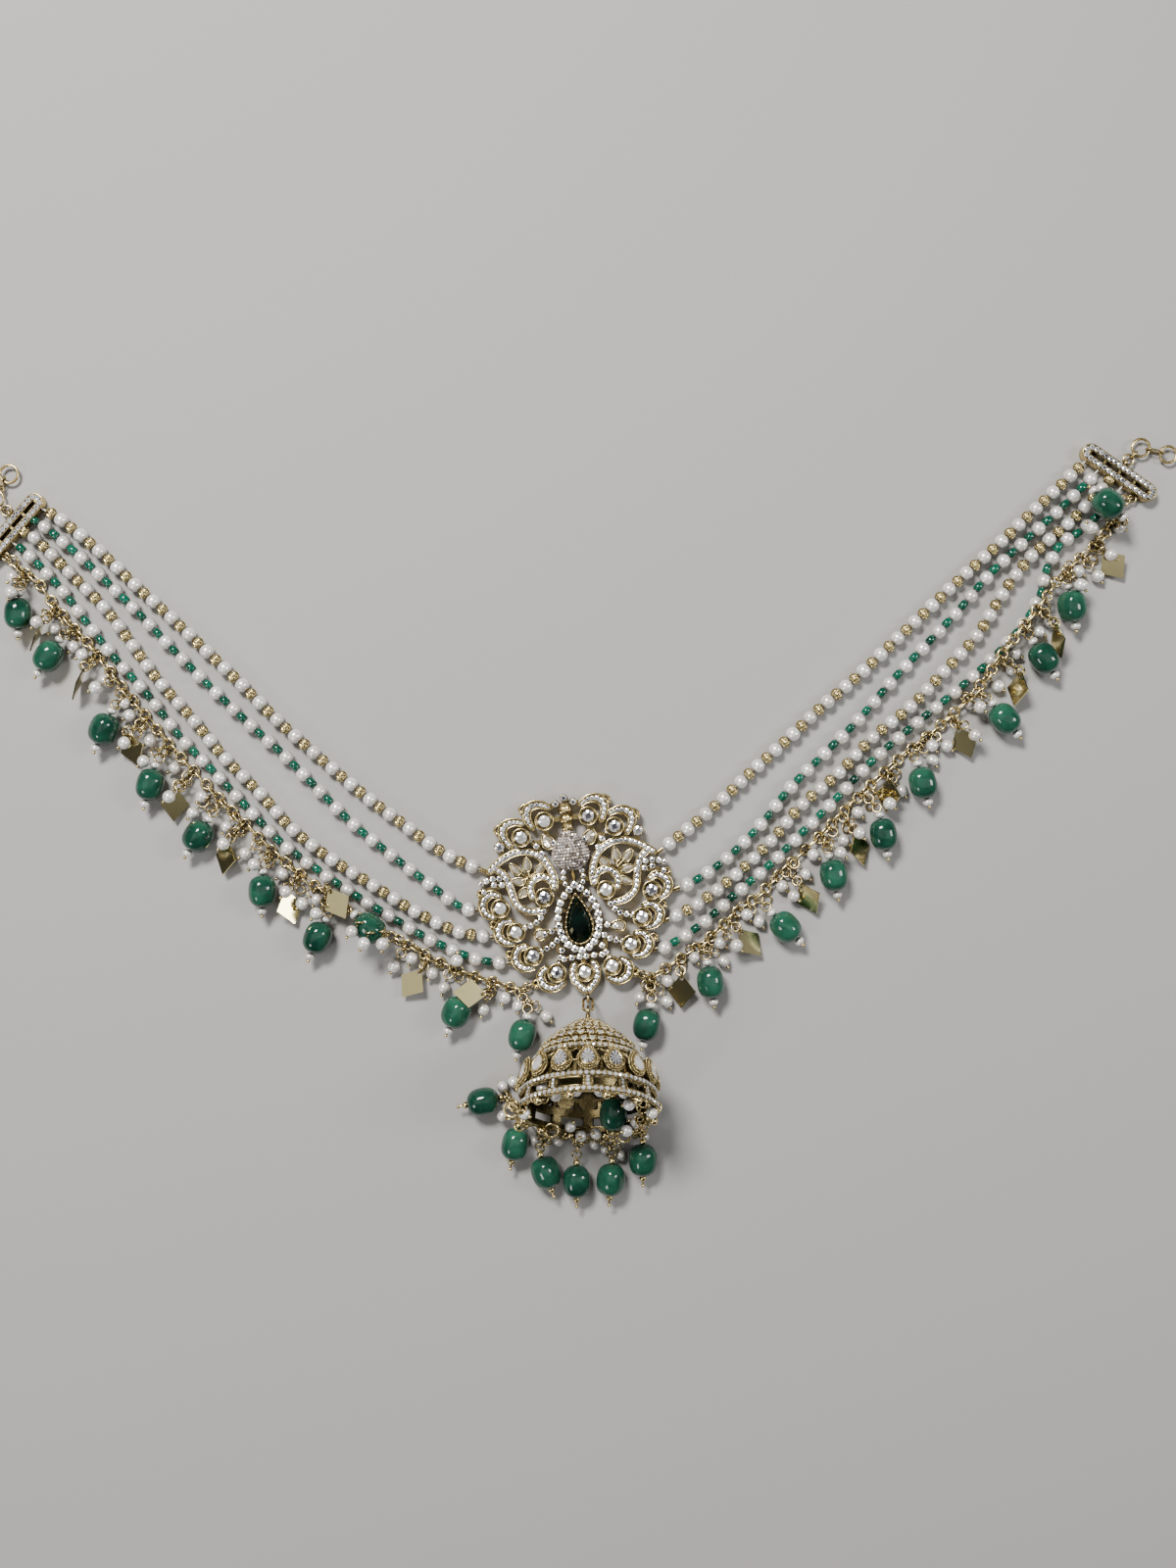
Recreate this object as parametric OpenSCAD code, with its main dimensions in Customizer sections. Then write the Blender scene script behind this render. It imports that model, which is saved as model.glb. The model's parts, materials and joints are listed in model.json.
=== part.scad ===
// Hair brooch with pearl strands, a fringe and a bell drop, lying flat with its face up.
// Millimetres, +X to the right, +Y towards the peacock's head, +Z up, resting on z = 0.

/* [Brooch] */
// Thickness of the openwork plate
plate_t = 1.5; // [1.2:0.1:1.8]
// Height of the raised bands and crescents over the plate
relief_h = 0.5; // [0.3:0.1:0.7]
// Width of the two large paisley bands
band_w = 1.9; // [1.7:0.1:2.1]
// Width of the crescents round the petals, at their middle
crescent_w = 2.6; // [2.4:0.1:2.7]
// Outer radius of a round bezel
bezel_r = 2.6; // [2.4:0.1:2.7]
// Height of a bezel's rim over the plate
bezel_h = 1.2; // [1:0.1:1.5]
// Radius of a round cut stone
stone_r = 1.7; // [1.5:0.1:1.8]
// Half width of the pear-shaped centre stone
pear_w = 3.4; // [3:0.1:3.6]
// Length of the pear-shaped centre stone
pear_l = 13.4; // [12.5:0.1:13.6]

/* [Strands] */
// Diameter of a pearl
pearl_d = 4.1; // [3.8:0.05:4.15]
// Distance from one pearl to the next
pearl_pitch = 6.8; // [6.7:0.05:7]
// Radius of the thread
thread_r = 0.25; // [0.2:0.01:0.28]
// Radius of the hole through a pearl
pearl_bore_r = 0.4; // [0.38:0.01:0.5]

/* [End bars] */
// Length of an end bar
bar_l = 24.4; // [23:0.2:26]
// Width of an end bar
bar_w = 5; // [4.8:0.1:5.4]
// Height of an end bar
bar_h = 3; // [2.8:0.1:3.2]
// Width of the slot along the bar
slot_w = 1.1; // [0.9:0.1:1.3]
// Radius of the wire of the large end rings
ring_wire_r = 0.4; // [0.35:0.01:0.42]

/* [Fringe] */
// Diameter of the fringe chain
chain_d = 2.1; // [1.8:0.1:2.2]
// Radius of a head pin or hanger wire
pin_r = 0.3; // [0.25:0.01:0.32]
// Length of a green bead
bead_l = 9; // [8.5:0.1:9.4]
// Largest radius of a green bead
bead_r = 3.9; // [3.6:0.1:4]
// Long diagonal of a lozenge plate
lozenge_l = 10; // [9:0.2:10.4]
// Short diagonal of a lozenge plate
lozenge_w = 8; // [7:0.2:8.2]
// Thickness of a lozenge plate
lozenge_t = 0.4; // [0.3:0.05:0.5]

/* [Bell] */
// Radius of the bell's rim
bell_r = 18.5; // [18:0.1:19]
// Height of the bell from the rim to the top
bell_h = 26.5; // [26:0.1:27]
// Wall thickness of the bell
bell_wall = 0.9; // [0.8:0.1:1.1]
// Angle by which the bell's mouth looks up as it lies
bell_lift = 30; // [28:1:32]

/* [Hidden] */
$fn = 32;
gold = "#c9b27a";
jade = "#1f7a55";
clear = "#e8eef2";
ivory = "#efe9dc";

// Shift that brings the middle of the whole outline over the origin
middle_shift = [2.3, 0.8, 0];

// The brooch: where its middle lies, and its turn on the table
brooch_at = [-3.5, -21, 0];
brooch_turn = 7;
plate_z = 1.5;
plate_top = plate_z + plate_t;
relief_top = plate_top + relief_h;
seat_gap = 0.15;
// How deep raised work starts inside the plate, and how far its sides stand back from the plate's edges
sunk = 0.4;
setback = 0.2;
stem_w = 0.9;
crescent_end_share = 0.55;
stem_fn = 8;
band_steps = 2;

// Large paisley, right half: outer band, inner band and the comma round its stone, [x, y]
paisley_outer = [[5.6, 2.4], [5.5, 6], [7.6, 10.8], [11.5, 13.4], [15.8, 13.6], [20, 11.8], [23.4, 9.2]];
paisley_inner = [[21.8, 10.2], [19, 7.6], [17.9, 3.6], [17, -0.2], [14.6, -2.6], [11.6, -3.4], [9, -3.2]];
paisley_comma = [[5.8, 2.6], [6.6, 5], [8.9, 6.2], [11.2, 5.4], [12.4, 3.2], [11.8, 0.4]];
paisley_stone = [8.7, 0.4];
// Leaves of the flower inside the large paisley: [x, y, angle of its tip]
paisley_leaves = [[9, 8.4, 130], [12.6, 10, 95], [16, 9.2, 50], [15.6, 5.6, 10], [14.6, 2.2, -30]];
flower_root = [12.4, 6.2];

// Crescent and hook of a petal round its bezel, for the upper and the lower petals, [x, y]
upper_crescent = [[-1.8, 3.4], [0.2, 4.6], [2.6, 4.8], [4.4, 3.6], [4.7, 1.2], [3.4, -1.8]];
upper_hook = [[3.2, 5.1], [5.2, 5.2], [6.5, 4.2], [6.1, 3.2]];
lower_crescent = [[0.8, 3.1], [3.4, 3.2], [5.1, 0.6], [3.9, -2.2], [0.8, -3.2]];
lower_hook = [[4.4, 2.6], [5.9, 3.6], [6.9, 3.2], [6.7, 2.2]];
// Petals of the right half: [x, y, turn]
upper_petals = [[6.2, 21.6, 0], [13.2, 17.8, -12]];
lower_petals = [[21.4, -1.2, 20], [17.8, -8.4, 0], [13.8, -15.6, -14], [7.8, -21, -46]];
bottom_stone = [0, -21.8];
bottom_vee = [[-2.5, -19.4], [-3.5, -21.6], [-2.7, -24.6], [0, -27.4]];

// Peacock: body length profile as [radius, distance from its lower end]
body_at = [0, 6.9];
body_profile = [
    [0, 0], [2.6, 0.5], [4.4, 1.9], [5.3, 3.9], [5, 6], [3.9, 8], [2.5, 9.8], [1.6, 11.6], [0, 12]
];
body_sunk = 0.6;
neck_at = [0, 21.2];
neck_r = 1.7;
neck_rise = 0.4;
head_at = [0, 24];
head_r = 1.8;
head_rise = 0.7;
// Small round studs of the right half that are set on the frame: [x, y, radius]
studs = [[2.5, 26, 1.1], [19.6, 15.8, 1.7], [2.7, 4.4, 1], [25.9, 6.2, 0.9], [25.4, 3.8, 0.9]];
crest_stud = [0, 27.4, 1.1];

// Halo round the centre stone, right half, and the pear's middle
pear_at = [0, -6.7];
pear_swell = 1.3;
halo = [[0, 2.9], [1.6, 1.7], [3.2, 0.1], [4.5, -1.8], [5.3, -3.8], [5.7, -5.9], [5.7, -8], [5.3, -10],
        [4.6, -11.9], [3.5, -13.7], [2, -15], [0, -15.7]];
halo_w = 1.8;
collar_w = 0.55;
collar_half_w = pear_w + seat_gap + collar_w;
collar_l = pear_l + 2 * (seat_gap + collar_w);
// Ties between the halo and the pear's collar, right half
halo_ties = [
    [[1.2, -0.8], [2.6, 0.8]], [[3, -4.6], [5, -3.2]], [[3.2, -8], [5.7, -8]],
    [[2.8, -11], [4.6, -12]], [[0.8, -12.6], [1.2, -15.4]]
];
// Stems and branch work of the right half: lists of [x, y]
branches = [
    [[9.5, -3.6], [10.8, -5.6], [12.6, -6.8], [15.4, -7.6]],
    [[12.4, -6.8], [11.4, -8.6]],
    [[5.6, -9.2], [8, -9.4], [10, -10]],
    [[5.2, -11], [7, -12.3], [8.8, -13.6], [11.6, -14.6]],
    [[4, -13.6], [6, -15.4], [6.6, -17.6], [7.2, -19]],
    [[0, -17.4], [2.9, -17.4], [6.6, -17.6]],
    [[7, -12.3], [6.4, -15.6]],
    [[0, -15], [0, -19.6]],
    [[18.8, 6.6], [22.4, 6.9], [25.9, 6.2]],
    [[19, 5.2], [22.4, 4.6], [25.4, 3.8]],
    [[25.4, 3.8], [26.6, 2.4]],
    [[8, 12.6], [9.8, 15.6], [11, 16.8]],
    [[2.8, 14.6], [6, 15.8], [9.2, 15.8]],
    [[6, 15.8], [6.2, 19.4]],
    [[19.4, 14.6], [19, 12.8]],
    [[19, 16.6], [18, 18.4]],
    [[1.6, 2.2], [2.7, 4.4], [2.6, 8]],
    [[2.7, 4.4], [5.2, 4]],
    [[0, 21.8], [4.2, 21.7]],
    [[0, 24.6], [2.6, 26], [4.4, 25.2]],
    [[0, 24], [0, 27.4]]
];
branch_w = 1.4;
// Larger leaves on the branch work: [x, y, angle, length, width]
branch_leaves = [[10.8, -10, 170, 4.4, 3.1], [6, 15.8, 62, 4.8, 3.5]];

// Strand routes from the bar to the brooch, [x, y], and the distance to the first pearl
left_routes = [
    [[-154.7, 88.2], [-148.5, 84.5], [-137.5, 75.5], [-127.5, 66], [-117.5, 57], [-107.5, 47.5],
     [-97.5, 38], [-87.5, 28], [-75, 17], [-62.5, 6.5], [-53, -0.5], [-43.5, -7.5], [-36.5, -11.5],
     [-28.8, -14.6]],
    [[-157.5, 85], [-153, 82.5], [-143, 74], [-133.5, 65], [-124.5, 56], [-115.5, 46.5], [-106, 37],
     [-96, 27.5], [-86, 18.5], [-76.5, 9], [-67, -0.5], [-56, -9.5], [-45.5, -17.5], [-36, -24.5],
     [-29.5, -25.5]],
    [[-160.3, 81.8], [-156, 79.5], [-147, 70.5], [-136.5, 60], [-129, 50], [-121, 39], [-111.5, 28.5],
     [-103, 18], [-93, 8], [-83.5, -2.5], [-72.5, -11], [-60.5, -18.5], [-48.5, -26], [-36.5, -31.5],
     [-25.4, -33.2]],
    [[-163, 78.7], [-157.5, 74.5], [-148.5, 65], [-140.5, 54.5], [-132.5, 44.5], [-123.5, 34.5],
     [-115.5, 24], [-106, 14], [-97, 4.5], [-87.5, -5.5], [-77, -13.5], [-66, -21], [-54.5, -28],
     [-43, -34.5], [-30.5, -39.5], [-20.8, -40.4]]
];
right_routes = [
    [[140.9, 101.9], [136, 97], [125.5, 87], [115.5, 77.5], [105.5, 68.5], [96, 59.5], [86, 50],
     [76, 40.5], [66, 32], [56.5, 23], [46.5, 14], [37, 5], [27, -3.5], [19.5, -9.2]],
    [[144.4, 99.5], [142, 96.5], [133, 87.5], [123, 78.5], [113, 69], [104, 58.5], [94.5, 48.5],
     [86, 39.5], [76.5, 28.5], [67, 19], [57, 9], [49, -1], [39, -11], [29.5, -17.5], [24, -19.5]],
    [[147.8, 97.1], [145, 93.5], [136.2, 84.2], [125.5, 75], [117, 64], [110, 52.5], [100.5, 42],
     [91, 32], [80, 23], [70.5, 13], [60, 4], [51.5, -6], [41, -16], [30.5, -24], [21, -28.6]],
    [[151.2, 94.7], [148.5, 91.5], [140.5, 82.5], [133.5, 78], [129.5, 71], [127, 62], [121, 53],
     [111.5, 43], [101, 34], [90.5, 25.5], [80, 16.5], [71, 7], [61.5, -2.5], [52, -12], [41.5, -21],
     [32, -29.5], [21.5, -36], [17.5, -36.5]]
];
left_first = [7.2, 5, 4.8, 7.2];
right_first = [7, 4.4, 4.9, 9];
strand_end_gap = 4.2;
thread_seat = 0.7;
smooth_steps = 4;
socket_r = 0.65;
socket_l = 1.9;
socket_root = 0.8;
socket_floor = 0.5;
socket_bore_r = 0.42;
pearl_z = pearl_d / 2;

// End bars: middle, turn of the length and side of the strands
bar_left_at = [-162.2, 82.2, 0];
bar_left_turn = -131;
bar_right_at = [149.6, 97.9, 0];
bar_right_turn = -35;
bar_bridges = 3;
bridge_w = 0.7;
strand_holes = [-9.4, -5.2, -1, 3.2];
strand_hole_r = 0.6;
strand_hole_l = 1.8;
chain_eye_x = 7.4;
eye_r = 1;
eye_wire_r = 0.35;
eye_z = 1.65;
left_lug_x = -2.6;
right_lug_x = 0;

// Fringe chains: routes from the bar's eye to the brooch's eye, [x, y, z]
low = 1.2;
over = 5.6;
chain_left_route = [
    [-162.4, 73.2, 1.6], [-160.3, 70.5, low], [-156, 68, low], [-153, 63.5, low], [-146, 55, low],
    [-139.5, 48, low], [-132, 38, low], [-125.5, 30, low], [-118.5, 21.5, low], [-111.5, 14, low],
    [-104.5, 6.5, low], [-97, -1, low], [-89.5, -8.5, low], [-81, -15.5, low], [-74, -21, low],
    [-65, -27.5, low], [-55.5, -33, low], [-49.5, -36, low], [-43.5, -39.5, low], [-34, -43.5, low],
    [-26, -46, low], [-19.4, -48, 1.6]
];
chain_right_route = [
    [151.4, 90.2, 1.6], [150, 87, low], [145, 79.5, low], [138.5, 73.5, 1.8], [132, 67.5, 3.6],
    [128, 62, over], [124, 57, over], [117.5, 48.5, over], [112, 40.5, 4.8], [107, 34, 3],
    [97, 24.5, 1.3], [87, 16.5, low], [79, 9, low], [71.5, 1.5, low], [64, -6, low], [56.5, -13, low],
    [49, -20.5, low], [41, -27, low], [33.5, -34, low], [25, -40, low], [17.4, -44.6, 1.6]
];
chain_sides = 8;
hook_height = 2.9;
hook_tip = 0.6;
left_brooch_eye = [-17.3, -47.1, 1.95];
right_brooch_eye = [15.3, -43.6, 1.95];

// Green beads: [x, y, z, direction from the hanging end to the free end]
beads_left = [
    [-160, 58, 3.9, -91], [-151.5, 46, 3.9, -123], [-136, 25.5, 3.9, -113], [-123, 10, 3.9, -105],
    [-109.5, -4.5, 3.9, -122], [-91.5, -20, 3.9, -91], [-76, -33, 3.9, -112], [-61, -30, 6.5, -42],
    [-37, -54, 3.9, -114], [-18.5, -60.5, 3.9, -105]
];
beads_right = [
    [144.5, 88, 8.4, 138], [136, 60, 3.9, -80], [128, 45.5, 3.9, -57], [117, 28.5, 3.9, -50],
    [94, 10.5, 3.9, -75], [83, -4, 3.9, -79], [69, -15.5, 3.9, -79], [55.5, -30, 3.9, -46],
    [34.4, -45.5, 3.9, -81], [16.5, -57.5, 3.9, -102]
];
bead_bore_r = 0.5;
pin_tail = 3.2;
pin_head_gap = 2.6;
wire_fn = 6;

// Lozenge plates: [x, y, z, turn in plan, roll about its length, tilt of its length]
lozenges_of_left = [
    [-154.5, 52, 4, -115, 78, 0], [-143, 38.5, 4, -110, 80, 0], [-128.5, 20, 2.4, -70, 22, 6],
    [-116.5, 4.5, 2.4, -95, -20, 6], [-102, -10.5, 2.8, -100, 34, 4], [-84, -24.5, 2.8, -75, -34, 4],
    [-70.2, -23.2, 5.4, -60, 8, -4], [-49.5, -46, 2.4, -125, 14, 6], [-33, -48.3, 6.2, 173, 8, -20]
];
lozenges_of_right = [
    [148, 72, 2.2, -50, 14, 5], [132, 50.4, 4, -80, 80, 0], [120.8, 36.9, 3.6, -100, 60, 4],
    [106, 22, 2.6, -65, 26, 4], [84.5, 7, 3, -95, 44, 4], [76.5, -8, 2.8, -75, -38, 4],
    [62, -22, 2.8, -60, 36, 4], [45.5, -34.5, 2.8, -50, -30, 4], [26.4, -48.2, 2.4, -90, 14, 6]
];
lozenge_hole_x = -3.6;
lozenge_hole_r = 0.55;
hanger_reach = 2.7;
hanger_rise = 0.9;
hanger_tail = 0.7;

// Bell: [share of its radius, share of its height] along the outer wall, from the rim to the top
bell_shape = [
    [1, 0], [0.99, 0.09], [0.968, 0.19], [0.94, 0.31], [0.9, 0.4], [0.83, 0.475], [0.745, 0.565],
    [0.67, 0.665], [0.56, 0.747], [0.435, 0.823], [0.305, 0.892], [0.18, 0.955], [0.06, 1]
];
bell_profile = [for (p = bell_shape) [p[0] * bell_r, p[1] * bell_h]];
bell_at = [0, -78.2];
bays = 16;
rim_windows = 12;
rim_window_w = 6.6;
rim_window_h = 2.4;
rim_window_at = 2.9;
square_w = 2.4;
square_h = 2.3;
square_at = 7.3;
arch_w = 4.3;
arch_foot = 9;
arch_shoulder = 11;
arch_top = 12.9;
ridges = [0.7, 5, 14];
ridge_r = 0.75;
teardrop_l = 6.8;
teardrop_w = 5.2;
teardrop_at = 8.4;
teardrop_lean = 12;
teardrop_root = 1;
teardrop_depth = 2.2;
teardrop_stone_depth = 2.9;
teardrop_stone_share = 0.72;
stem_r = 0.7;
stem_l = 1.6;
loop_r = 1.1;
loop_wire_r = 0.4;
bail_at = [0, -50.2, 2.25];
link_half_w = 1.3;
bell_link_r = 0.35;
string_drop = 0.65;

// Bell beads: [x, y, z, direction from the hanging end to the free end, place of its string round the rim,
// and how far outside the rim's radius it starts]
bell_beads = [
    [-29.5, -79, 3.9, -168, 188, 1], [-20.5, -91, 3.9, -101, 215, 0], [-11.8, -99, 3.9, -72, 240, 0],
    [-3.2, -101.5, 3.9, -90, 262, 0], [6.4, -101, 3.9, -94, 285, 0], [15.4, -95.5, 3.9, -90, 318, 0],
    [7, -81, 11.2, -90, 62, -1.2]
];

// End rings and links, from the bar's lug outwards
small_ring_r = 1.42;
small_link_r = 1.34;
right_ring_r = 2.45;
right_end_ring_r = 2.3;
left_end_ring_r = 2.5;
right_ring_angle = 44;
right_end_angle = -14;
link_wire_r = 0.3;
link_reach = 0.52;
right_link_span = 1.6;
right_link_half = 2.5;
left_ring_angle = 140;
hook_eye_angle = 155;
hook_eye_r = 0.95;
hook_bow_at = [-167.3, 90.6];
hook_bow_r = 2.35;
hook_bow_half = 64;
hook_loop_at = [-165.9, 93.35];
hook_loop_r = 0.9;
left_link_at = [-165.3, 95.1];
left_link_angle = -108;
left_link_half = 1.8;
left_end_ring_at = [-163.5, 97.65];

module centred() {
    translate(middle_shift) children();
}
function unit(v) = v / norm(v);
function mirrored(p) = [-p[0], p[1]];

// A smooth curve through a route's points, with a number of steps to each stretch
function bend(a, b, c, d, t) =
    0.5 * (2 * b + (c - a) * t + (2 * a - 5 * b + 4 * c - d) * t * t + (3 * b - a - 3 * c + d) * t * t * t);
function smooth(route, steps) = let (last = len(route) - 1) concat(
    [for (i = [0 : last - 1], j = [0 : steps - 1])
        bend(route[max(i - 1, 0)], route[i], route[i + 1], route[min(i + 2, last)], j / steps)],
    [route[last]]
);

// Distance along a path at each of its points, and the point at a given distance
function distances(path) =
    let (last = len(path) - 1)
    [for (i = 0, sum = 0; i <= last; sum = sum + norm(path[min(i + 1, last)] - path[i]), i = i + 1) sum];
function length_of(path) = let (sums = distances(path)) sums[len(sums) - 1];
function at_distance(path, sums, s) =
    let (k = max([for (i = [0 : len(sums) - 2]) if (sums[i] <= s || i == 0) i]))
    path[k] + (path[k + 1] - path[k]) * (s - sums[k]) / (sums[k + 1] - sums[k]);
function nearest(path, p) =
    let (gaps = [for (q = path) norm([q[0] - p[0], q[1] - p[1]])], best = min(gaps))
    [for (i = [0 : len(path) - 1]) if (gaps[i] == best) path[i]][0];

// A strand: its pearls are spaced evenly between the first and the last, and its thread bends between them
function strand_run(route, first) = length_of(smooth(route, smooth_steps)) - first - strand_end_gap;
function pearl_count(route, first) = round(strand_run(route, first) / pearl_pitch) + 1;
function thread_path(route, first) =
    let (path = smooth(route, smooth_steps), sums = distances(path), n = pearl_count(route, first),
         pitch = strand_run(route, first) / (n - 1),
         places = [for (i = [0 : n]) at_distance(path, sums, first + (i - 0.5) * pitch)],
         finish = places[n] + unit(places[n] - places[n - 1]) * (strand_end_gap - pitch / 2 - thread_seat))
    [for (p = concat([path[0]], [for (i = [0 : n - 1]) places[i]], [finish])) [p[0], p[1], pearl_z]];
function clean(path) = [for (i = [0 : len(path) - 1]) if (i == 0 || norm(path[i] - path[i - 1]) > 1) path[i]];

// A turn by roll, tilt and plan angle, in that order
function turned(v, roll, tilt, plan) =
    let (a = [v[0], v[1] * cos(roll) - v[2] * sin(roll), v[1] * sin(roll) + v[2] * cos(roll)],
         b = [a[0] * cos(tilt) + a[2] * sin(tilt), a[1], -a[0] * sin(tilt) + a[2] * cos(tilt)])
    [b[0] * cos(plan) - b[1] * sin(plan), b[0] * sin(plan) + b[1] * cos(plan), b[2]];

// A tube of flat sides swept along a path, for thread and chain
module tube(path, r, sides) {
    last = len(path) - 1;
    rings = [for (i = [0 : last])
        let (along = unit(path[min(i + 1, last)] - path[max(i - 1, 0)]),
             side = unit(cross([0, 0, 1], along)), up = cross(along, side))
        for (k = [0 : sides - 1]) path[i] + r * (cos(360 * k / sides) * side + sin(360 * k / sides) * up)];
    walls = [for (i = [0 : last - 1], k = [0 : sides - 1])
        [(i + 1) * sides + k, (i + 1) * sides + (k + 1) % sides, i * sides + (k + 1) % sides, i * sides + k]];
    caps = [[for (k = [0 : sides - 1]) k], [for (k = [0 : sides - 1]) last * sides + sides - 1 - k]];
    polyhedron(rings, concat(walls, caps), convexity = 10);
}

// A bent wire with round joints
module wire(points, r) {
    for (i = [0 : len(points) - 2])
        hull() for (p = [points[i], points[i + 1]]) translate(p) sphere(r, $fn = wire_fn);
}

// A ring of round wire, lying or standing
module ring(r, wire_r) {
    rotate_extrude() translate([r, 0]) circle(wire_r);
}
module standing_ring(r, wire_r, turn) {
    rotate([0, 0, turn]) rotate([90, 0, 0]) ring(r, wire_r);
}

// An oval link of round wire, long along x, half_l from its middle to the end of its wire's centre line
module oval_link(half_l, half_w, wire_r) {
    straight = half_l - half_w;
    for (side = [0, 180]) rotate([0, 0, side]) {
        translate([straight, 0, 0]) rotate([0, 0, -90]) rotate_extrude(angle = 180) translate([half_w, 0])
            circle(wire_r);
        translate([-straight, half_w, 0]) rotate([0, 90, 0]) cylinder(h = 2 * straight, r = wire_r);
    }
}

// A cut stone: a flat table, eight crown facets and a narrower foot
module cut_stone(r, h) {
    rotate_extrude($fn = 8) polygon([[0, 0], [r * 0.85, 0], [r, h * 0.4], [r * 0.58, h], [0, h]]);
}

// Flat outlines of the brooch: a band, which may be wider at its middle, a pointed leaf and a pear
function band_side(path, half_w, end_share) = let (last = len(path) - 1) [for (i = [0 : last])
    let (run = unit(path[min(i + 1, last)] - path[max(i - 1, 0)]),
         share = end_share + (1 - end_share) * sin(180 * i / last)) path[i] + half_w * share * [-run[1], run[0]]];
function reversed(list) = [for (i = [len(list) - 1 : -1 : 0]) list[i]];
module band(points, w, end_share = 1) {
    path = smooth(points, band_steps);
    polygon(concat(band_side(path, w / 2, end_share), reversed(band_side(path, -w / 2, end_share))));
    for (end = [path[0], path[len(path) - 1]]) translate(end) circle(d = w * end_share, $fn = stem_fn);
}
module crescent(at, points) {
    translate([at[0], at[1]]) rotate(at[2]) band(points, crescent_w, crescent_end_share);
}
module leaf(at, angle, l, w) {
    side = [for (i = [0 : 4]) let (u = cos(45 * i)) [l / 2 * u, w / 2 * sin(45 * i) * (1 - 0.3 * u)]];
    translate(at) rotate(angle) polygon(concat(side, [for (i = [3 : -1 : 1]) [side[i][0], -side[i][1]]]));
}
module both_sides() {
    children();
    mirror([1, 0]) children();
}
module crescents() {
    both_sides() {
        for (p = upper_petals) crescent(p, upper_crescent);
        for (p = lower_petals) crescent(p, lower_crescent);
        band(bottom_vee, band_w);
        band(paisley_outer, band_w);
        band(paisley_inner, band_w);
        band(paisley_comma, band_w);
        band(halo, halo_w);
    }
}
module hooks() {
    both_sides() {
        for (p = upper_petals) translate([p[0], p[1]]) rotate(p[2]) band(upper_hook, stem_w);
        for (p = lower_petals) translate([p[0], p[1]]) rotate(p[2]) band(lower_hook, stem_w);
    }
}
module stems() {
    both_sides() {
        for (b = branches) band(b, branch_w);
        for (l = paisley_leaves) {
            leaf([l[0], l[1]], l[2], 4, 2.3);
            band([flower_root, [l[0], l[1]]], stem_w);
        }
        band([flower_root, [11.4, 5]], stem_w);
        band([flower_root, [15.6, 5.6], [18.4, 5]], stem_w);
        for (l = branch_leaves) leaf([l[0], l[1]], l[2], l[3], l[4]);
        for (s = studs) translate([s[0], s[1]]) circle(s[2], $fn = 12);
    }
    translate([crest_stud[0], crest_stud[1]]) circle(crest_stud[2], $fn = 12);
}
module pear(w, l) {
    translate(pear_at) polygon([for (i = [0 : 23]) let (a = 15 * i)
        [w * pear_swell * sin(a) * sin(a / 2), l / 2 * cos(a)]]);
}
module bezel_places() {
    for (p = concat(upper_petals, lower_petals, [[paisley_stone[0], paisley_stone[1], 0]]), side = [1, -1])
        translate([side * p[0], p[1]]) children();
    translate(bottom_stone) children();
}
module brooch_outline() {
    crescents();
    hooks();
    stems();
    bezel_places() circle(bezel_r, $fn = 24);
    pear(collar_half_w, collar_l);
    both_sides() for (tie = halo_ties) band(tie, stem_w);
    translate(body_at) polygon(concat(body_profile, [for (i = [len(body_profile) - 1 : -1 : 0])
        mirrored(body_profile[i])]));
    translate(neck_at) circle(neck_r, $fn = 20);
    translate(head_at) circle(head_r, $fn = 20);
}

// Ends of the strands at the brooch: [end point, direction towards the last pearl]
function strand_end(route, first) =
    let (path = thread_path(route, first), last = len(path) - 1, back = unit(path[last - 1] - path[last]))
    [path[last] - back * thread_seat, back];
strand_ends = concat(
    [for (i = [0 : 3]) strand_end(left_routes[i], left_first[i])],
    [for (i = [0 : 3]) strand_end(right_routes[i], right_first[i])]
);
module along(direction) {
    rotate([0, 0, atan2(direction[1], direction[0])]) rotate([0, 90, 0]) children();
}

module brooch_place() {
    translate(brooch_at) rotate([0, 0, brooch_turn]) children();
}
module brooch_solids() {
    brooch_place() {
        translate([0, 0, plate_z]) linear_extrude(plate_t) offset(delta = 0) brooch_outline();
        translate([0, 0, plate_z + sunk]) linear_extrude(relief_top - plate_z - sunk)
            offset(delta = -setback) crescents();
        translate([0, 0, plate_z + sunk]) bezel_places()
            cylinder(h = plate_t + bezel_h - sunk, r = bezel_r - setback);
        translate([0, 0, plate_z + sunk]) linear_extrude(plate_t + bezel_h - sunk)
            pear(collar_half_w - setback, collar_l - 2 * setback);
        peacock();
    }
    for (e = strand_ends) translate(e[0] - e[1] * socket_root) along(e[1])
        cylinder(h = socket_l + socket_root, r = socket_r);
    translate(bail_at) standing_ring(loop_r, loop_wire_r, 90);
    for (eye = [left_brooch_eye, right_brooch_eye]) brooch_eye(eye);
}
// Rounded body, neck and head, which end inside the plate
module peacock() {
    below = 20;
    difference() {
        union() {
            translate([body_at[0], body_at[1], plate_top - body_sunk]) rotate([-90, 0, 0]) rotate_extrude()
                polygon(body_profile * 0.97);
            translate([neck_at[0], neck_at[1], plate_top + neck_rise]) sphere(neck_r);
            translate([head_at[0], head_at[1], plate_top + head_rise]) sphere(head_r);
        }
        translate([-below / 2, 0, plate_z + sunk - below]) cube([below, 2 * below, below]);
    }
}
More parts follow.
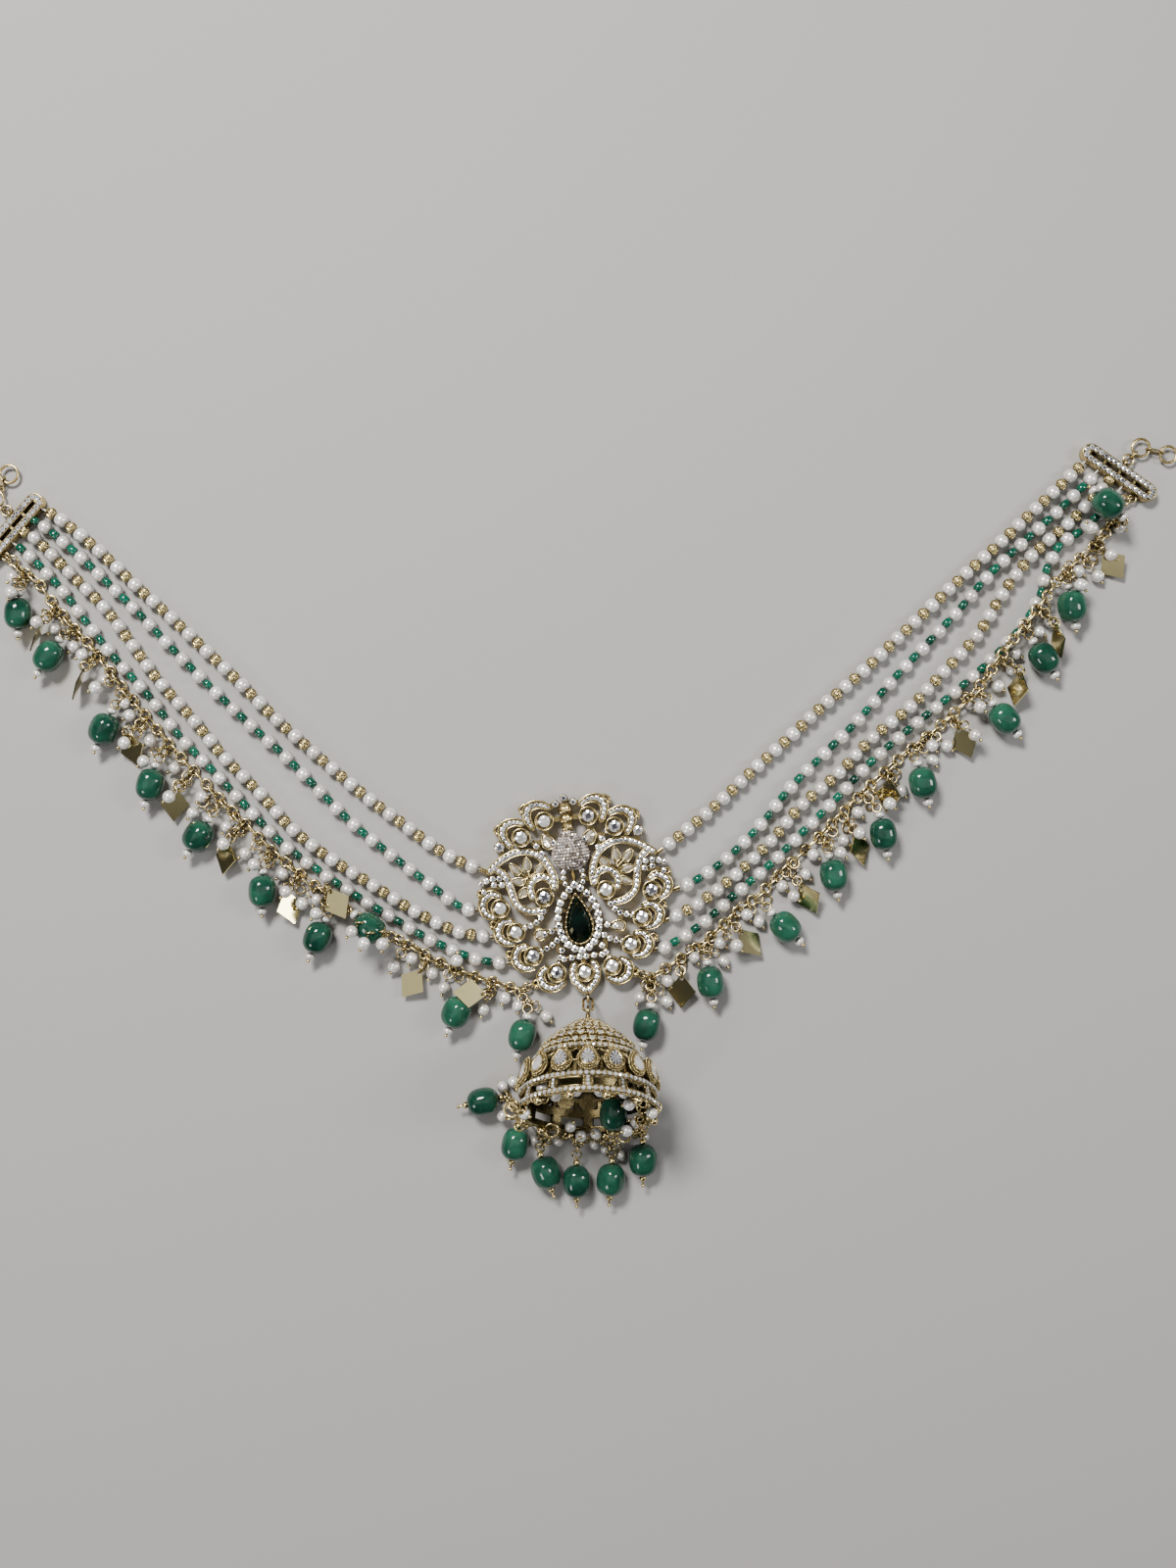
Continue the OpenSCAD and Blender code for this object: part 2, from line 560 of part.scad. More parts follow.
// Eye for the fringe chain, joined to the lowest petal by a short wire
module brooch_eye(at) {
    translate(at) {
        ring(eye_r, eye_wire_r);
        along([-sign(at[0]) * 0.9, 0.5]) translate([0, 0, 0.8]) cylinder(h = 2.4, r = eye_wire_r + 0.1);
    }
}
module brooch_frame() {
    color(gold) difference() {
        brooch_solids();
        brooch_place() {
            translate([0, 0, plate_top]) bezel_places() cylinder(h = bezel_h + 1, r = stone_r + seat_gap);
            translate([0, 0, plate_top]) linear_extrude(bezel_h + 1)
                offset(delta = 0) pear(pear_w + seat_gap, pear_l + 2 * seat_gap);
        }
        for (e = strand_ends) translate(e[0] + e[1] * socket_floor) along(e[1])
            cylinder(h = socket_l, r = socket_bore_r);
    }
}

module back_pin() {
    pin_l = 40;
    pin_wire_r = 0.6;
    block = [3.4, 3, plate_z - seat_gap];
    color(gold) brooch_place() {
        translate([0, pin_l / 2 - 4, pin_wire_r]) rotate([90, 0, 0]) cylinder(h = pin_l, r = pin_wire_r);
        for (y = [pin_l / 2 - 6, -pin_l / 2 - 2])
            translate([-block[0] / 2, y - block[1] / 2, 0]) cube(block);
    }
}

module center_stone() {
    stone_h = 2.4;
    color("#06261b") brooch_place() translate([0, 0, plate_top + seat_gap]) hull() {
        linear_extrude(0.9) pear(pear_w, pear_l);
        translate([pear_at[0], pear_at[1], stone_h - 0.1]) linear_extrude(0.1) scale(0.6) translate(-pear_at)
            pear(pear_w, pear_l);
    }
}

module brooch_stones() {
    stone_h = 1.5;
    color(clear) brooch_place() translate([0, 0, plate_top + seat_gap]) bezel_places()
        cut_stone(stone_r, stone_h);
}

// Pearls of one strand, each drilled along its thread
module strand(route, first) {
    path = thread_path(route, first);
    color(ivory) for (i = [1 : pearl_count(route, first)]) {
        a = path[i];
        b = path[i + 1];
        translate((a + b) / 2) along(b - a) difference() {
            sphere(d = pearl_d);
            cylinder(h = pearl_d + 1, r = pearl_bore_r, center = true);
        }
    }
}
module threads(routes, firsts) {
    color(ivory) for (i = [0 : 3]) tube(clean(thread_path(routes[i], firsts[i])), thread_r, chain_sides);
}

// End bar: stadium with a bridged slot, strand holes in one side, and three eyes
module end_bar(lug_x) {
    slot_l = bar_l - bar_w;
    bay = (slot_l - bar_bridges * bridge_w) / (bar_bridges + 1);
    difference() {
        union() {
            stadium(bar_l, bar_w, bar_h);
            translate([lug_x, bar_w / 2 + eye_r - 0.1, eye_z]) standing_ring(eye_r, eye_wire_r, 90);
            translate([chain_eye_x, -bar_w / 2 - eye_r + 0.1, eye_z]) ring(eye_r, eye_wire_r);
        }
        for (i = [0 : bar_bridges]) translate([-slot_l / 2 + i * (bay + bridge_w), -slot_w / 2, -1])
            cube([bay, slot_w, bar_h + 2]);
        for (x = strand_holes) translate([x, -bar_w / 2 - 1, pearl_z]) rotate([-90, 0, 0])
            cylinder(h = strand_hole_l + 1, r = strand_hole_r);
    }
}
module stadium(l, w, h) {
    translate([-l / 2 + w / 2, -w / 2, 0]) cube([l - w, w, h]);
    for (x = [-1, 1]) translate([x * (l - w) / 2, 0, 0]) cylinder(h = h, r = w / 2);
}
module left_bar_place() {
    translate(bar_left_at) rotate([0, 0, bar_left_turn]) mirror([0, 1, 0]) children();
}
module right_bar_place() {
    translate(bar_right_at) rotate([0, 0, bar_right_turn]) children();
}
module end_bar_left() {
    color(gold) left_bar_place() end_bar(left_lug_x);
}
module end_bar_right() {
    color(gold) right_bar_place() end_bar(right_lug_x);
}

// Places in the table's plane: a lug's middle, and a point a distance away at an angle
function lug_point(at, turn, x, y) =
    [at[0] + x * cos(turn) - y * sin(turn), at[1] + x * sin(turn) + y * cos(turn), eye_z];
function away(p, angle, d) = [p[0] + d * cos(angle), p[1] + d * sin(angle), eye_z];
lug_y = bar_w / 2 + eye_r - 0.1;
left_lug = lug_point(bar_left_at, bar_left_turn, left_lug_x, -lug_y);
right_lug = lug_point(bar_right_at, bar_right_turn, right_lug_x, lug_y);
left_inner = away(left_lug, left_ring_angle, small_ring_r);
right_inner = away(right_lug, right_ring_angle, small_ring_r);
right_inner_link = away(right_inner, right_ring_angle, small_ring_r + link_reach);
right_middle = away(right_inner_link, right_ring_angle, link_reach + right_ring_r);
right_outer_link = away(right_middle, right_end_angle, right_ring_r + right_link_span);
right_end = away(right_outer_link, right_end_angle, right_link_span + right_end_ring_r);

module ring_left_inner() {
    color(gold) translate(left_inner) ring(small_ring_r, eye_wire_r);
}
module hook_left() {
    color(gold) {
        translate(away(left_inner, hook_eye_angle, small_ring_r)) standing_ring(hook_eye_r, link_wire_r,
            hook_eye_angle);
        translate([hook_bow_at[0], hook_bow_at[1], eye_z]) rotate([0, 0, -hook_bow_half])
            rotate_extrude(angle = 2 * hook_bow_half) translate([hook_bow_r, 0]) circle(link_wire_r + 0.02);
        translate([hook_loop_at[0], hook_loop_at[1], eye_z]) ring(hook_loop_r, link_wire_r);
    }
}
module standing_link(at, angle, half_l, half_w) {
    color(gold) translate(at) rotate([0, 0, angle]) rotate([90, 0, 0]) oval_link(half_l, half_w, link_wire_r);
}
module link_left() {
    standing_link([left_link_at[0], left_link_at[1], eye_z], left_link_angle, left_link_half, 1.1);
}
module ring_left_end() {
    color(gold) translate([left_end_ring_at[0], left_end_ring_at[1], eye_z])
        ring(left_end_ring_r, ring_wire_r);
}
module ring_right_inner() {
    color(gold) translate(right_inner) ring(small_ring_r, eye_wire_r);
}
module link_right_inner() {
    color(gold) translate(right_inner_link) standing_ring(small_link_r, link_wire_r, right_ring_angle);
}
module ring_right_middle() {
    color(gold) translate(right_middle) ring(right_ring_r, ring_wire_r);
}
module link_right_outer() {
    standing_link(right_outer_link, right_end_angle, right_link_half, 1.2);
}
module ring_right_end() {
    color(gold) translate(right_end) ring(right_end_ring_r, ring_wire_r);
}

// Ends of a bead's head pin, before and behind the bead
function heading(b) = [cos(b[3]), sin(b[3]), 0];
function pin_start(b) = [b[0], b[1], b[2]] - heading(b) * (bead_l / 2 + pin_head_gap);
function pin_end(b) = [b[0], b[1], b[2]] + heading(b) * (bead_l / 2 + pin_tail);

// Tumbled bead: a barrel with round shoulders, drilled along its length
function barrel(u) = bead_r * pow(1 - pow(abs(u), 2.6), 1 / 2.4);
module green_bead(b) {
    half = bead_l / 2;
    reach = 0.96;
    steps = 12;
    color(jade) translate([b[0], b[1], b[2]]) along(heading(b)) rotate_extrude() polygon(concat(
        [[bead_bore_r, -half]],
        [for (i = [0 : steps]) let (u = reach * cos(180 * i / steps)) [barrel(u), -half * u / reach]],
        [[bead_bore_r, half]]
    ));
}

// Lozenge plates with a hole near the hanging corner
module lozenge(p) {
    translate([p[0], p[1], p[2]]) rotate([p[4], p[5], p[3]]) difference() {
        linear_extrude(lozenge_t, center = true)
            polygon([[-lozenge_l / 2, 0], [0, lozenge_w / 2], [lozenge_l / 2, 0], [0, -lozenge_w / 2]]);
        translate([lozenge_hole_x, 0, 0]) cylinder(h = 2, r = lozenge_hole_r, center = true);
    }
}
module lozenges(places) {
    color("#c8ad6a") for (p = places) lozenge(p);
}

// Fringe chain, hooked through an eye at each end, with a head pin for each green bead and a hanger for
// each lozenge
module chain_hook(from, eye) {
    rise = [from[0], from[1], hook_height];
    wire([from, rise, [eye[0], eye[1], hook_height], [eye[0], eye[1], hook_tip]], pin_r);
}
module fringe_chain(route, bar_eye, brooch_end_eye, beads, places) {
    path = smooth(route, 3);
    color(gold) {
        tube(path, chain_d / 2, chain_sides);
        chain_hook(path[0], bar_eye);
        chain_hook(path[len(path) - 1], brooch_end_eye);
        for (b = beads) wire([nearest(path, pin_start(b)), pin_start(b), pin_end(b)], pin_r);
        for (p = places) {
            hole = [p[0], p[1], p[2]] + turned([lozenge_hole_x, 0, 0], p[4], p[5], p[3]);
            out = turned([-hanger_reach, 0, 0], p[4], p[5], p[3]);
            face = turned([0, 0, 1], p[4], p[5], p[3]);
            above = hole + face * hanger_rise;
            wire([nearest(path, hole + out), above + out, above, hole - face * hanger_tail], pin_r);
        }
    }
}
module chain_left() {
    fringe_chain(chain_left_route, lug_point(bar_left_at, bar_left_turn, chain_eye_x, lug_y), left_brooch_eye,
        beads_left, lozenges_of_left);
}
module chain_right() {
    fringe_chain(chain_right_route, lug_point(bar_right_at, bar_right_turn, chain_eye_x, -lug_y),
        right_brooch_eye, beads_right, lozenges_of_right);
}

// Bell: in its own frame the rim lies at z = 0 and the top looks up
module bell_place() {
    translate([bell_at[0], bell_at[1], bell_rest]) rotate([-90 - bell_lift, 0, 0]) children();
}
function bell_radius(h) = lookup(h, [for (p = bell_profile) [p[1], p[0]]]);

// The bell rests on the teardrop at its lowest side: how far a teardrop's tip reaches from the rim's middle
function teardrop_reach(depth, share) = depth * cos(teardrop_lean - bell_lift)
    + share * (teardrop_l - teardrop_w / 2) * sin(bell_lift - teardrop_lean);
teardrop_x = bell_radius(teardrop_at) - teardrop_root;
bell_rest = teardrop_x * cos(bell_lift) + teardrop_at * sin(bell_lift)
    + max(teardrop_reach(teardrop_depth, 1), teardrop_reach(teardrop_stone_depth, teardrop_stone_share));
function wall_normal(i) = let (last = len(bell_profile) - 1,
    run = bell_profile[min(i + 1, last)] - bell_profile[max(i - 1, 0)]) unit([run[1], -run[0]]);
bell_inner = [for (i = [0 : len(bell_profile) - 2]) bell_profile[i] - bell_wall * wall_normal(i)];
module bell_wall_solid() {
    top = bell_profile[len(bell_profile) - 1];
    inner_top = bell_inner[len(bell_inner) - 1];
    rotate_extrude() {
        polygon(concat([[bell_inner[0][0], 0]], bell_profile, [[0, top[1]], [0, inner_top[1]]],
            [for (i = [len(bell_inner) - 1 : -1 : 1]) bell_inner[i]]));
        for (h = ridges) translate([bell_radius(h), h]) circle(ridge_r, $fn = 20);
    }
}
module teardrop() {
    polygon(concat(
        [for (i = [0 : 12]) let (a = 180 + 15 * i) teardrop_w / 2 * [cos(a), sin(a)]],
        [[0, teardrop_l - teardrop_w / 2]]
    ));
}
module bell_windows() {
    depth = 8;
    for (i = [0 : bays - 1]) rotate([0, 0, 360 * (i + 0.5) / bays]) {
        translate([bell_radius(arch_foot), 0, 0]) rotate([90, 0, 90]) linear_extrude(depth, center = true)
            polygon([[-arch_w / 2, arch_foot], [arch_w / 2, arch_foot], [arch_w / 2, arch_shoulder],
                     [0, arch_top], [-arch_w / 2, arch_shoulder]]);
        for (side = [-1, 1]) rotate([0, 0, side * 90 / bays])
            translate([bell_radius(square_at), 0, square_at]) cube([depth, square_w, square_h], center = true);
    }
    for (i = [0 : rim_windows - 1]) rotate([0, 0, 360 * (i + 0.5) / rim_windows])
        translate([bell_radius(rim_window_at), 0, rim_window_at])
            cube([depth, rim_window_w, rim_window_h], center = true);
}
module bell() {
    color(gold) bell_place() {
        difference() {
            bell_wall_solid();
            bell_windows();
        }
        for (i = [0 : bays - 1]) rotate([0, 0, 360 * i / bays])
            translate([teardrop_x, 0, teardrop_at]) rotate([0, -teardrop_lean, 0]) rotate([90, 0, 90]) {
                linear_extrude(teardrop_depth) teardrop();
                linear_extrude(teardrop_stone_depth) scale(teardrop_stone_share) teardrop();
            }
        translate([0, 0, bell_h - 0.8]) cylinder(h = stem_l + 0.8, r = stem_r);
        translate([0, 0, bell_h + stem_l + loop_r - 0.2]) standing_ring(loop_r, loop_wire_r, 90);
    }
}
// Middle of the bell's own loop, and the oval link between it and the brooch's bail
function bell_point(h) = [bell_at[0], bell_at[1] + h * cos(bell_lift), bell_rest - h * sin(bell_lift)];
bell_loop_at = bell_point(bell_h + stem_l + loop_r - 0.2);
module bell_link() {
    span = bell_loop_at - bail_at;
    half_l = norm(span) / 2;
    turn = [0, -asin(span[2] / norm(span)), atan2(span[1], span[0])];
    color(gold) translate((bell_loop_at + bail_at) / 2) rotate(turn)
        oval_link(half_l, link_half_w, bell_link_r);
}

// A point just off the bell's rim, at an angle round the mouth
function rim_point(a, r) = [
    bell_at[0] + r * cos(a),
    bell_at[1] + r * sin(a) * sin(bell_lift) - string_drop * cos(bell_lift),
    bell_rest + r * sin(a) * cos(bell_lift) + string_drop * sin(bell_lift)
];
module bell_strings() {
    color(gold) for (b = bell_beads) wire([rim_point(b[4], bell_r + b[5]), pin_start(b), pin_end(b)], pin_r);
}

centred() brooch_frame();
centred() back_pin();
centred() center_stone();
centred() brooch_stones();
centred() bell();
centred() bell_link();
centred() bell_strings();
for (i = [0 : 3]) {
    centred() strand(left_routes[i], left_first[i]);
    centred() strand(right_routes[i], right_first[i]);
}
centred() threads(left_routes, left_first);  // threads_left
centred() threads(right_routes, right_first);  // threads_right
centred() end_bar_left();
centred() end_bar_right();
centred() ring_left_inner();
centred() hook_left();
centred() link_left();
centred() ring_left_end();
centred() ring_right_inner();
centred() link_right_inner();
centred() ring_right_middle();
centred() link_right_outer();
centred() ring_right_end();
centred() chain_left();
centred() chain_right();
centred() lozenges(lozenges_of_left);  // lozenges_left
centred() lozenges(lozenges_of_right);  // lozenges_right
for (i = [0 : len(beads_left) - 1]) {
    centred() green_bead(beads_left[i]);
    centred() green_bead(beads_right[i]);
}
for (i = [0 : len(bell_beads) - 1]) {
    centred() green_bead(bell_beads[i]);
}
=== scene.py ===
"""Looks of the hair brooch: camera, light, floor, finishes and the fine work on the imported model.

Lengths are in millimetres while a piece is made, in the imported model's own frame. They become metres in
finished(). Angles in the tables are in degrees.
"""
import json
import math
import random

import bmesh
import bpy
from mathutils import Matrix, Vector
from mathutils.bvhtree import BVHTree


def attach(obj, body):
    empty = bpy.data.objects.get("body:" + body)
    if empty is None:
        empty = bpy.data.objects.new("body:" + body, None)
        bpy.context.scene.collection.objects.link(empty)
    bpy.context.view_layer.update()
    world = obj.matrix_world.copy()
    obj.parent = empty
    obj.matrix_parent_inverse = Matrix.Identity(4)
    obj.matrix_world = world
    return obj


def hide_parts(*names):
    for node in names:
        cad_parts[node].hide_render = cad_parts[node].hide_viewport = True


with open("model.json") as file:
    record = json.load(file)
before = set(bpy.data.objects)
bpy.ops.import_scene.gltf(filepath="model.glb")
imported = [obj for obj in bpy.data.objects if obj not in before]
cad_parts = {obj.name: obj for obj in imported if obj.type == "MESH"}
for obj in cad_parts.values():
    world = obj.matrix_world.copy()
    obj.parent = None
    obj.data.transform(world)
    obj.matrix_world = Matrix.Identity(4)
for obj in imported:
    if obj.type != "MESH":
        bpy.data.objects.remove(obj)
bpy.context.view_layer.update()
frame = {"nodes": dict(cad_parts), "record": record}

MM = 0.001
TURN = 2 * math.pi

# Photograph: pixels to a millimetre on the surface, and the pixel right under the camera
PX_PER_MM = 3.6
PHOTO_MIDDLE = (600, 800)
# Camera, which looks straight down: the place that it is over, its height and its lens
CAMERA_OVER = Vector((2.3, 10.94))
CAMERA_HEIGHT = 420
CAMERA_LENS = 34.02


def photo_point(px, py, z):
    """Place on the model, at height z, that the camera sees at a pixel of the photograph."""
    shrink = (CAMERA_HEIGHT - z) / CAMERA_HEIGHT / PX_PER_MM
    return Vector((CAMERA_OVER.x + (px - PHOTO_MIDDLE[0]) * shrink,
                   CAMERA_OVER.y + (PHOTO_MIDDLE[1] - py) * shrink, z))


# Node trees, for geometry and for materials


class Tree:
    """A node tree that is built node by node, with named inputs."""

    def __init__(self, group):
        self.group = group

    def add(self, kind, feeds=None, **settings):
        node = self.group.nodes.new(kind)
        for key, value in settings.items():
            setattr(node, key, value)
        self.fill(node, feeds or {})
        return node

    def fill(self, node, feeds):
        for key, value in feeds.items():
            self.feed(node.inputs[key], value)

    def feed(self, socket, value):
        if isinstance(value, bpy.types.NodeSocket):
            self.group.links.new(value, socket)
        elif isinstance(value, bpy.types.Node):
            self.group.links.new(value.outputs[0], socket)
        else:
            socket.default_value = value

    def math(self, operation, first, second=0.0, third=0.0):
        return self.add("ShaderNodeMath", {0: first, 1: second, 2: third}, operation=operation).outputs[0]


def shape_tree(name, **inputs):
    """A geometry tree whose inputs are Geometry and the given names with their socket kinds."""
    group = bpy.data.node_groups.new(name, "GeometryNodeTree")
    group.interface.new_socket("Geometry", in_out="INPUT", socket_type="NodeSocketGeometry")
    for label, kind in inputs.items():
        group.interface.new_socket(label, in_out="INPUT", socket_type="NodeSocket" + kind)
    group.interface.new_socket("Geometry", in_out="OUTPUT", socket_type="NodeSocketGeometry")
    tree = Tree(group)
    tree.given = tree.add("NodeGroupInput").outputs
    tree.result = tree.add("NodeGroupOutput").inputs
    return tree


def piece_geometry(tree, label):
    return tree.add("GeometryNodeObjectInfo", {"Object": tree.given[label]}).outputs["Geometry"]


def random_value(tree, low, high, seed):
    return tree.add("FunctionNodeRandomValue", {"Min": low, "Max": high, "Seed": seed},
                    data_type="FLOAT").outputs[1]


def toned(tree, instances, seed):
    """Gives each instance a random tone from 0 to 1 for its material."""
    return tree.add("GeometryNodeStoreNamedAttribute", {
        "Geometry": instances, "Name": "tone", "Value": random_value(tree, 0.0, 1.0, seed)},
        data_type="FLOAT", domain="INSTANCE")


def realized(tree, instances, material="Material"):
    real = tree.add("GeometryNodeRealizeInstances", {"Geometry": instances})
    finish = tree.given[material]
    return tree.add("GeometryNodeSetMaterial", {"Geometry": real, "Material": finish}).outputs[0]


def sized(tree, jitter, seed):
    """A random size, from 1 down by twice the jitter."""
    return random_value(tree, tree.math("MULTIPLY_ADD", jitter, -2.0, 1.0), 1.0, seed)


def turned_along(tree, tangent, spin):
    """A rotation whose X follows the tangent in plan, turned on by spin about Z."""
    parts = tree.add("ShaderNodeSeparateXYZ", {0: tangent})
    angle = tree.math("ARCTAN2", parts.outputs[1], parts.outputs[0])
    return tree.add("ShaderNodeCombineXYZ", {2: tree.math("ADD", angle, spin)}).outputs[0]


def along_tree():
    """Pieces at an even pitch along paths."""
    tree = shape_tree("Pieces along paths", Piece="Object", Pitch="Float", Jitter="Float", Spin="Float",
                      Seed="Int", Material="Material")
    given = tree.given
    curve = tree.add("GeometryNodeMeshToCurve", {0: given["Geometry"]})
    even = tree.add("GeometryNodeResampleCurve", {"Curve": curve, "Length": given["Pitch"]}, mode="LENGTH")
    points = tree.add("GeometryNodeCurveToPoints", {"Curve": even}, mode="EVALUATED")
    spin = random_value(tree, 0.0, given["Spin"], given["Seed"])
    placed = tree.add("GeometryNodeInstanceOnPoints", {
        "Points": points, "Instance": piece_geometry(tree, "Piece"),
        "Rotation": turned_along(tree, points.outputs["Tangent"], spin),
        "Scale": sized(tree, given["Jitter"], given["Seed"])})
    tree.feed(tree.result[0], realized(tree, toned(tree, placed, given["Seed"])))
    return tree


def wire_tree():
    """Round wire along paths."""
    tree = shape_tree("Wire along paths", Radius="Float", Sides="Int", Material="Material")
    given = tree.given
    curve = tree.add("GeometryNodeMeshToCurve", {0: given["Geometry"]})
    upright = tree.add("GeometryNodeSetCurveNormal", {"Curve": curve}, mode="Z_UP")
    profile = tree.add("GeometryNodeCurvePrimitiveCircle",
                       {"Resolution": given["Sides"], "Radius": given["Radius"]}, mode="RADIUS")
    wire = tree.add("GeometryNodeCurveToMesh",
                    {"Curve": upright, "Profile Curve": profile, "Fill Caps": True})
    tree.feed(tree.result[0], realized(tree, tree.add("GeometryNodeSetShadeSmooth", {"Geometry": wire})))
    return tree


def strand_tree():
    """Pearls at a pitch along a thread, with seeds between them."""
    tree = shape_tree("Strand", Pearl="Object", Seed_bead="Object", Places="Int", Seed_first="Int",
                      Jitter="Float", Seed="Int", Pearl_finish="Material", Seed_finish="Material")
    given = tree.given
    curve = tree.add("GeometryNodeMeshToCurve", {0: given["Geometry"]})
    even = tree.add("GeometryNodeResampleCurve", {"Curve": curve, "Count": given["Places"]}, mode="COUNT")
    points = tree.add("GeometryNodeCurveToPoints", {"Curve": even}, mode="EVALUATED")
    place = tree.math("ADD", tree.add("GeometryNodeInputIndex"), given["Seed_first"])
    between = tree.math("MODULO", place, 2.0)
    both = tree.add("GeometryNodeJoinGeometry")
    for label, finish, chosen, most_spin in (
            ("Pearl", "Pearl_finish", tree.math("SUBTRACT", 1.0, between), TURN),
            ("Seed_bead", "Seed_finish", between, 0.0)):
        spin = random_value(tree, 0.0, most_spin, given["Seed"])
        placed = tree.add("GeometryNodeInstanceOnPoints", {
            "Points": points, "Selection": chosen, "Instance": piece_geometry(tree, label),
            "Rotation": turned_along(tree, points.outputs["Tangent"], spin),
            "Scale": sized(tree, given["Jitter"], given["Seed"])})
        tree.feed(both.inputs[0], realized(tree, toned(tree, placed, given["Seed"]), finish))
    tree.feed(tree.result[0], both)
    return tree


def chain_tree():
    """Round links that lie flat, with long links standing through each two of them."""
    tree = shape_tree("Chain", Flat_link="Object", Standing_link="Object", Pitch="Float", Tilt="Float",
                      Lean="Float", Seed="Int", Material="Material")
    given = tree.given
    curve = tree.add("GeometryNodeMeshToCurve", {0: given["Geometry"]})
    even = tree.add("GeometryNodeResampleCurve",
                    {"Curve": curve, "Length": tree.math("MULTIPLY", given["Pitch"], 0.5)}, mode="LENGTH")
    points = tree.add("GeometryNodeCurveToPoints", {"Curve": even}, mode="EVALUATED")
    odd = tree.math("MODULO", tree.add("GeometryNodeInputIndex"), 2.0)
    parts = tree.add("ShaderNodeSeparateXYZ", {0: points.outputs["Tangent"]})
    plan = tree.math("ARCTAN2", parts.outputs[1], parts.outputs[0])
    slope = tree.math("MULTIPLY", tree.math("ARCSINE", parts.outputs[2]), -1.0)
    both = tree.add("GeometryNodeJoinGeometry")
    for label, most, chosen in (("Flat_link", given["Tilt"], tree.math("SUBTRACT", 1.0, odd)),
                                ("Standing_link", given["Lean"], odd)):
        lean = random_value(tree, tree.math("MULTIPLY", most, -1.0), most, given["Seed"])
        turn = tree.add("ShaderNodeCombineXYZ", {0: lean, 1: slope, 2: plan}).outputs[0]
        placed = tree.add("GeometryNodeInstanceOnPoints", {
            "Points": points, "Selection": chosen, "Instance": piece_geometry(tree, label),
            "Rotation": turn})
        tree.feed(both.inputs[0], placed)
    tree.feed(tree.result[0], realized(tree, both))
    return tree


def ring_tree():
    """Pieces spaced evenly round an axis, leaning out by an angle."""
    tree = shape_tree("Pieces round an axis", Piece="Object", Count="Int", Radius="Float", Height="Float",
                      Lean="Float", Start="Float", Seed="Int", Material="Material")
    given = tree.given
    place = tree.math("ADD", tree.add("GeometryNodeInputIndex"), given["Start"])
    angle = tree.math("MULTIPLY", tree.math("DIVIDE", place, given["Count"]), TURN)
    spot = tree.add("ShaderNodeCombineXYZ", {
        0: tree.math("MULTIPLY", given["Radius"], tree.math("COSINE", angle)),
        1: tree.math("MULTIPLY", given["Radius"], tree.math("SINE", angle)), 2: given["Height"]})
    points = tree.add("GeometryNodePoints", {"Count": given["Count"], "Position": spot})
    placed = tree.add("GeometryNodeInstanceOnPoints", {
        "Points": points, "Instance": piece_geometry(tree, "Piece"),
        "Rotation": tree.add("ShaderNodeCombineXYZ", {1: given["Lean"], 2: angle})})
    tree.feed(tree.result[0], realized(tree, toned(tree, placed, given["Seed"])))
    return tree


def aimed_tree():
    """A piece on each vertex, its Z along the vertex's aim, in the vertex's size."""
    tree = shape_tree("Pieces on points", Piece="Object", Jitter="Float", Seed="Int", Material="Material")
    given = tree.given
    aim = tree.add("GeometryNodeInputNamedAttribute", {"Name": "aim"}, data_type="FLOAT_VECTOR").outputs[0]
    size = tree.add("GeometryNodeInputNamedAttribute", {"Name": "size"}, data_type="FLOAT").outputs[0]
    turn = tree.add("FunctionNodeAlignRotationToVector", {"Vector": aim}, axis="Z")
    placed = tree.add("GeometryNodeInstanceOnPoints", {
        "Points": given["Geometry"], "Instance": piece_geometry(tree, "Piece"), "Rotation": turn,
        "Scale": tree.math("MULTIPLY", size, sized(tree, given["Jitter"], given["Seed"]))})
    tree.feed(tree.result[0], realized(tree, toned(tree, placed, given["Seed"])))
    return tree


TREES = {}


def tree_of(make):
    """The tree that a function makes, made once."""
    if make not in TREES:
        TREES[make] = make()
    return TREES[make]


def shown(name, data):
    """A new object in the scene."""
    thing = bpy.data.objects.new(name, data)
    bpy.context.scene.collection.objects.link(thing)
    return thing


def made(name, make, source, **values):
    """Runs a tree on a source mesh and returns the result as a plain mesh object."""
    group = tree_of(make).group
    holder = shown(name + "_source", source)
    modifier = holder.modifiers.new("shape", "NODES")
    modifier.node_group = group
    for item in group.interface.items_tree:
        if item.in_out == "INPUT" and item.name in values:
            modifier[item.identifier] = values[item.name]
    bpy.context.view_layer.update()
    graph = bpy.context.evaluated_depsgraph_get()
    mesh = bpy.data.meshes.new_from_object(holder.evaluated_get(graph), preserve_all_data_layers=True,
                                           depsgraph=graph)
    holder.modifiers.remove(modifier)
    bpy.data.objects.remove(holder)
    return shown(name, mesh)


# Source meshes: paths, points and plain shapes


def paths_mesh(paths, closed=False):
    verts = []
    edges = []
    for path in paths:
        first = len(verts)
        verts += [Vector(p).to_3d() if len(p) == 2 else Vector(p) for p in path]
        edges += [(i, i + 1) for i in range(first, len(verts) - 1)]
        if closed:
            edges.append((len(verts) - 1, first))
    mesh = bpy.data.meshes.new("paths")
    mesh.from_pydata(verts, edges, [])
    return mesh


def points_mesh(points, aims, sizes):
    mesh = bpy.data.meshes.new("points")
    mesh.from_pydata(points, [], [])
    layer = mesh.attributes.new("aim", "FLOAT_VECTOR", "POINT")
    layer.data.foreach_set("vector", [v for aim in aims for v in aim])
    layer = mesh.attributes.new("size", "FLOAT", "POINT")
    layer.data.foreach_set("value", sizes)
    return mesh


def solid(name, verts, faces, smooth=True):
    mesh = bpy.data.meshes.new(name)
    mesh.from_pydata(verts, [], faces)
    if smooth:
        mesh.shade_smooth()
    return mesh


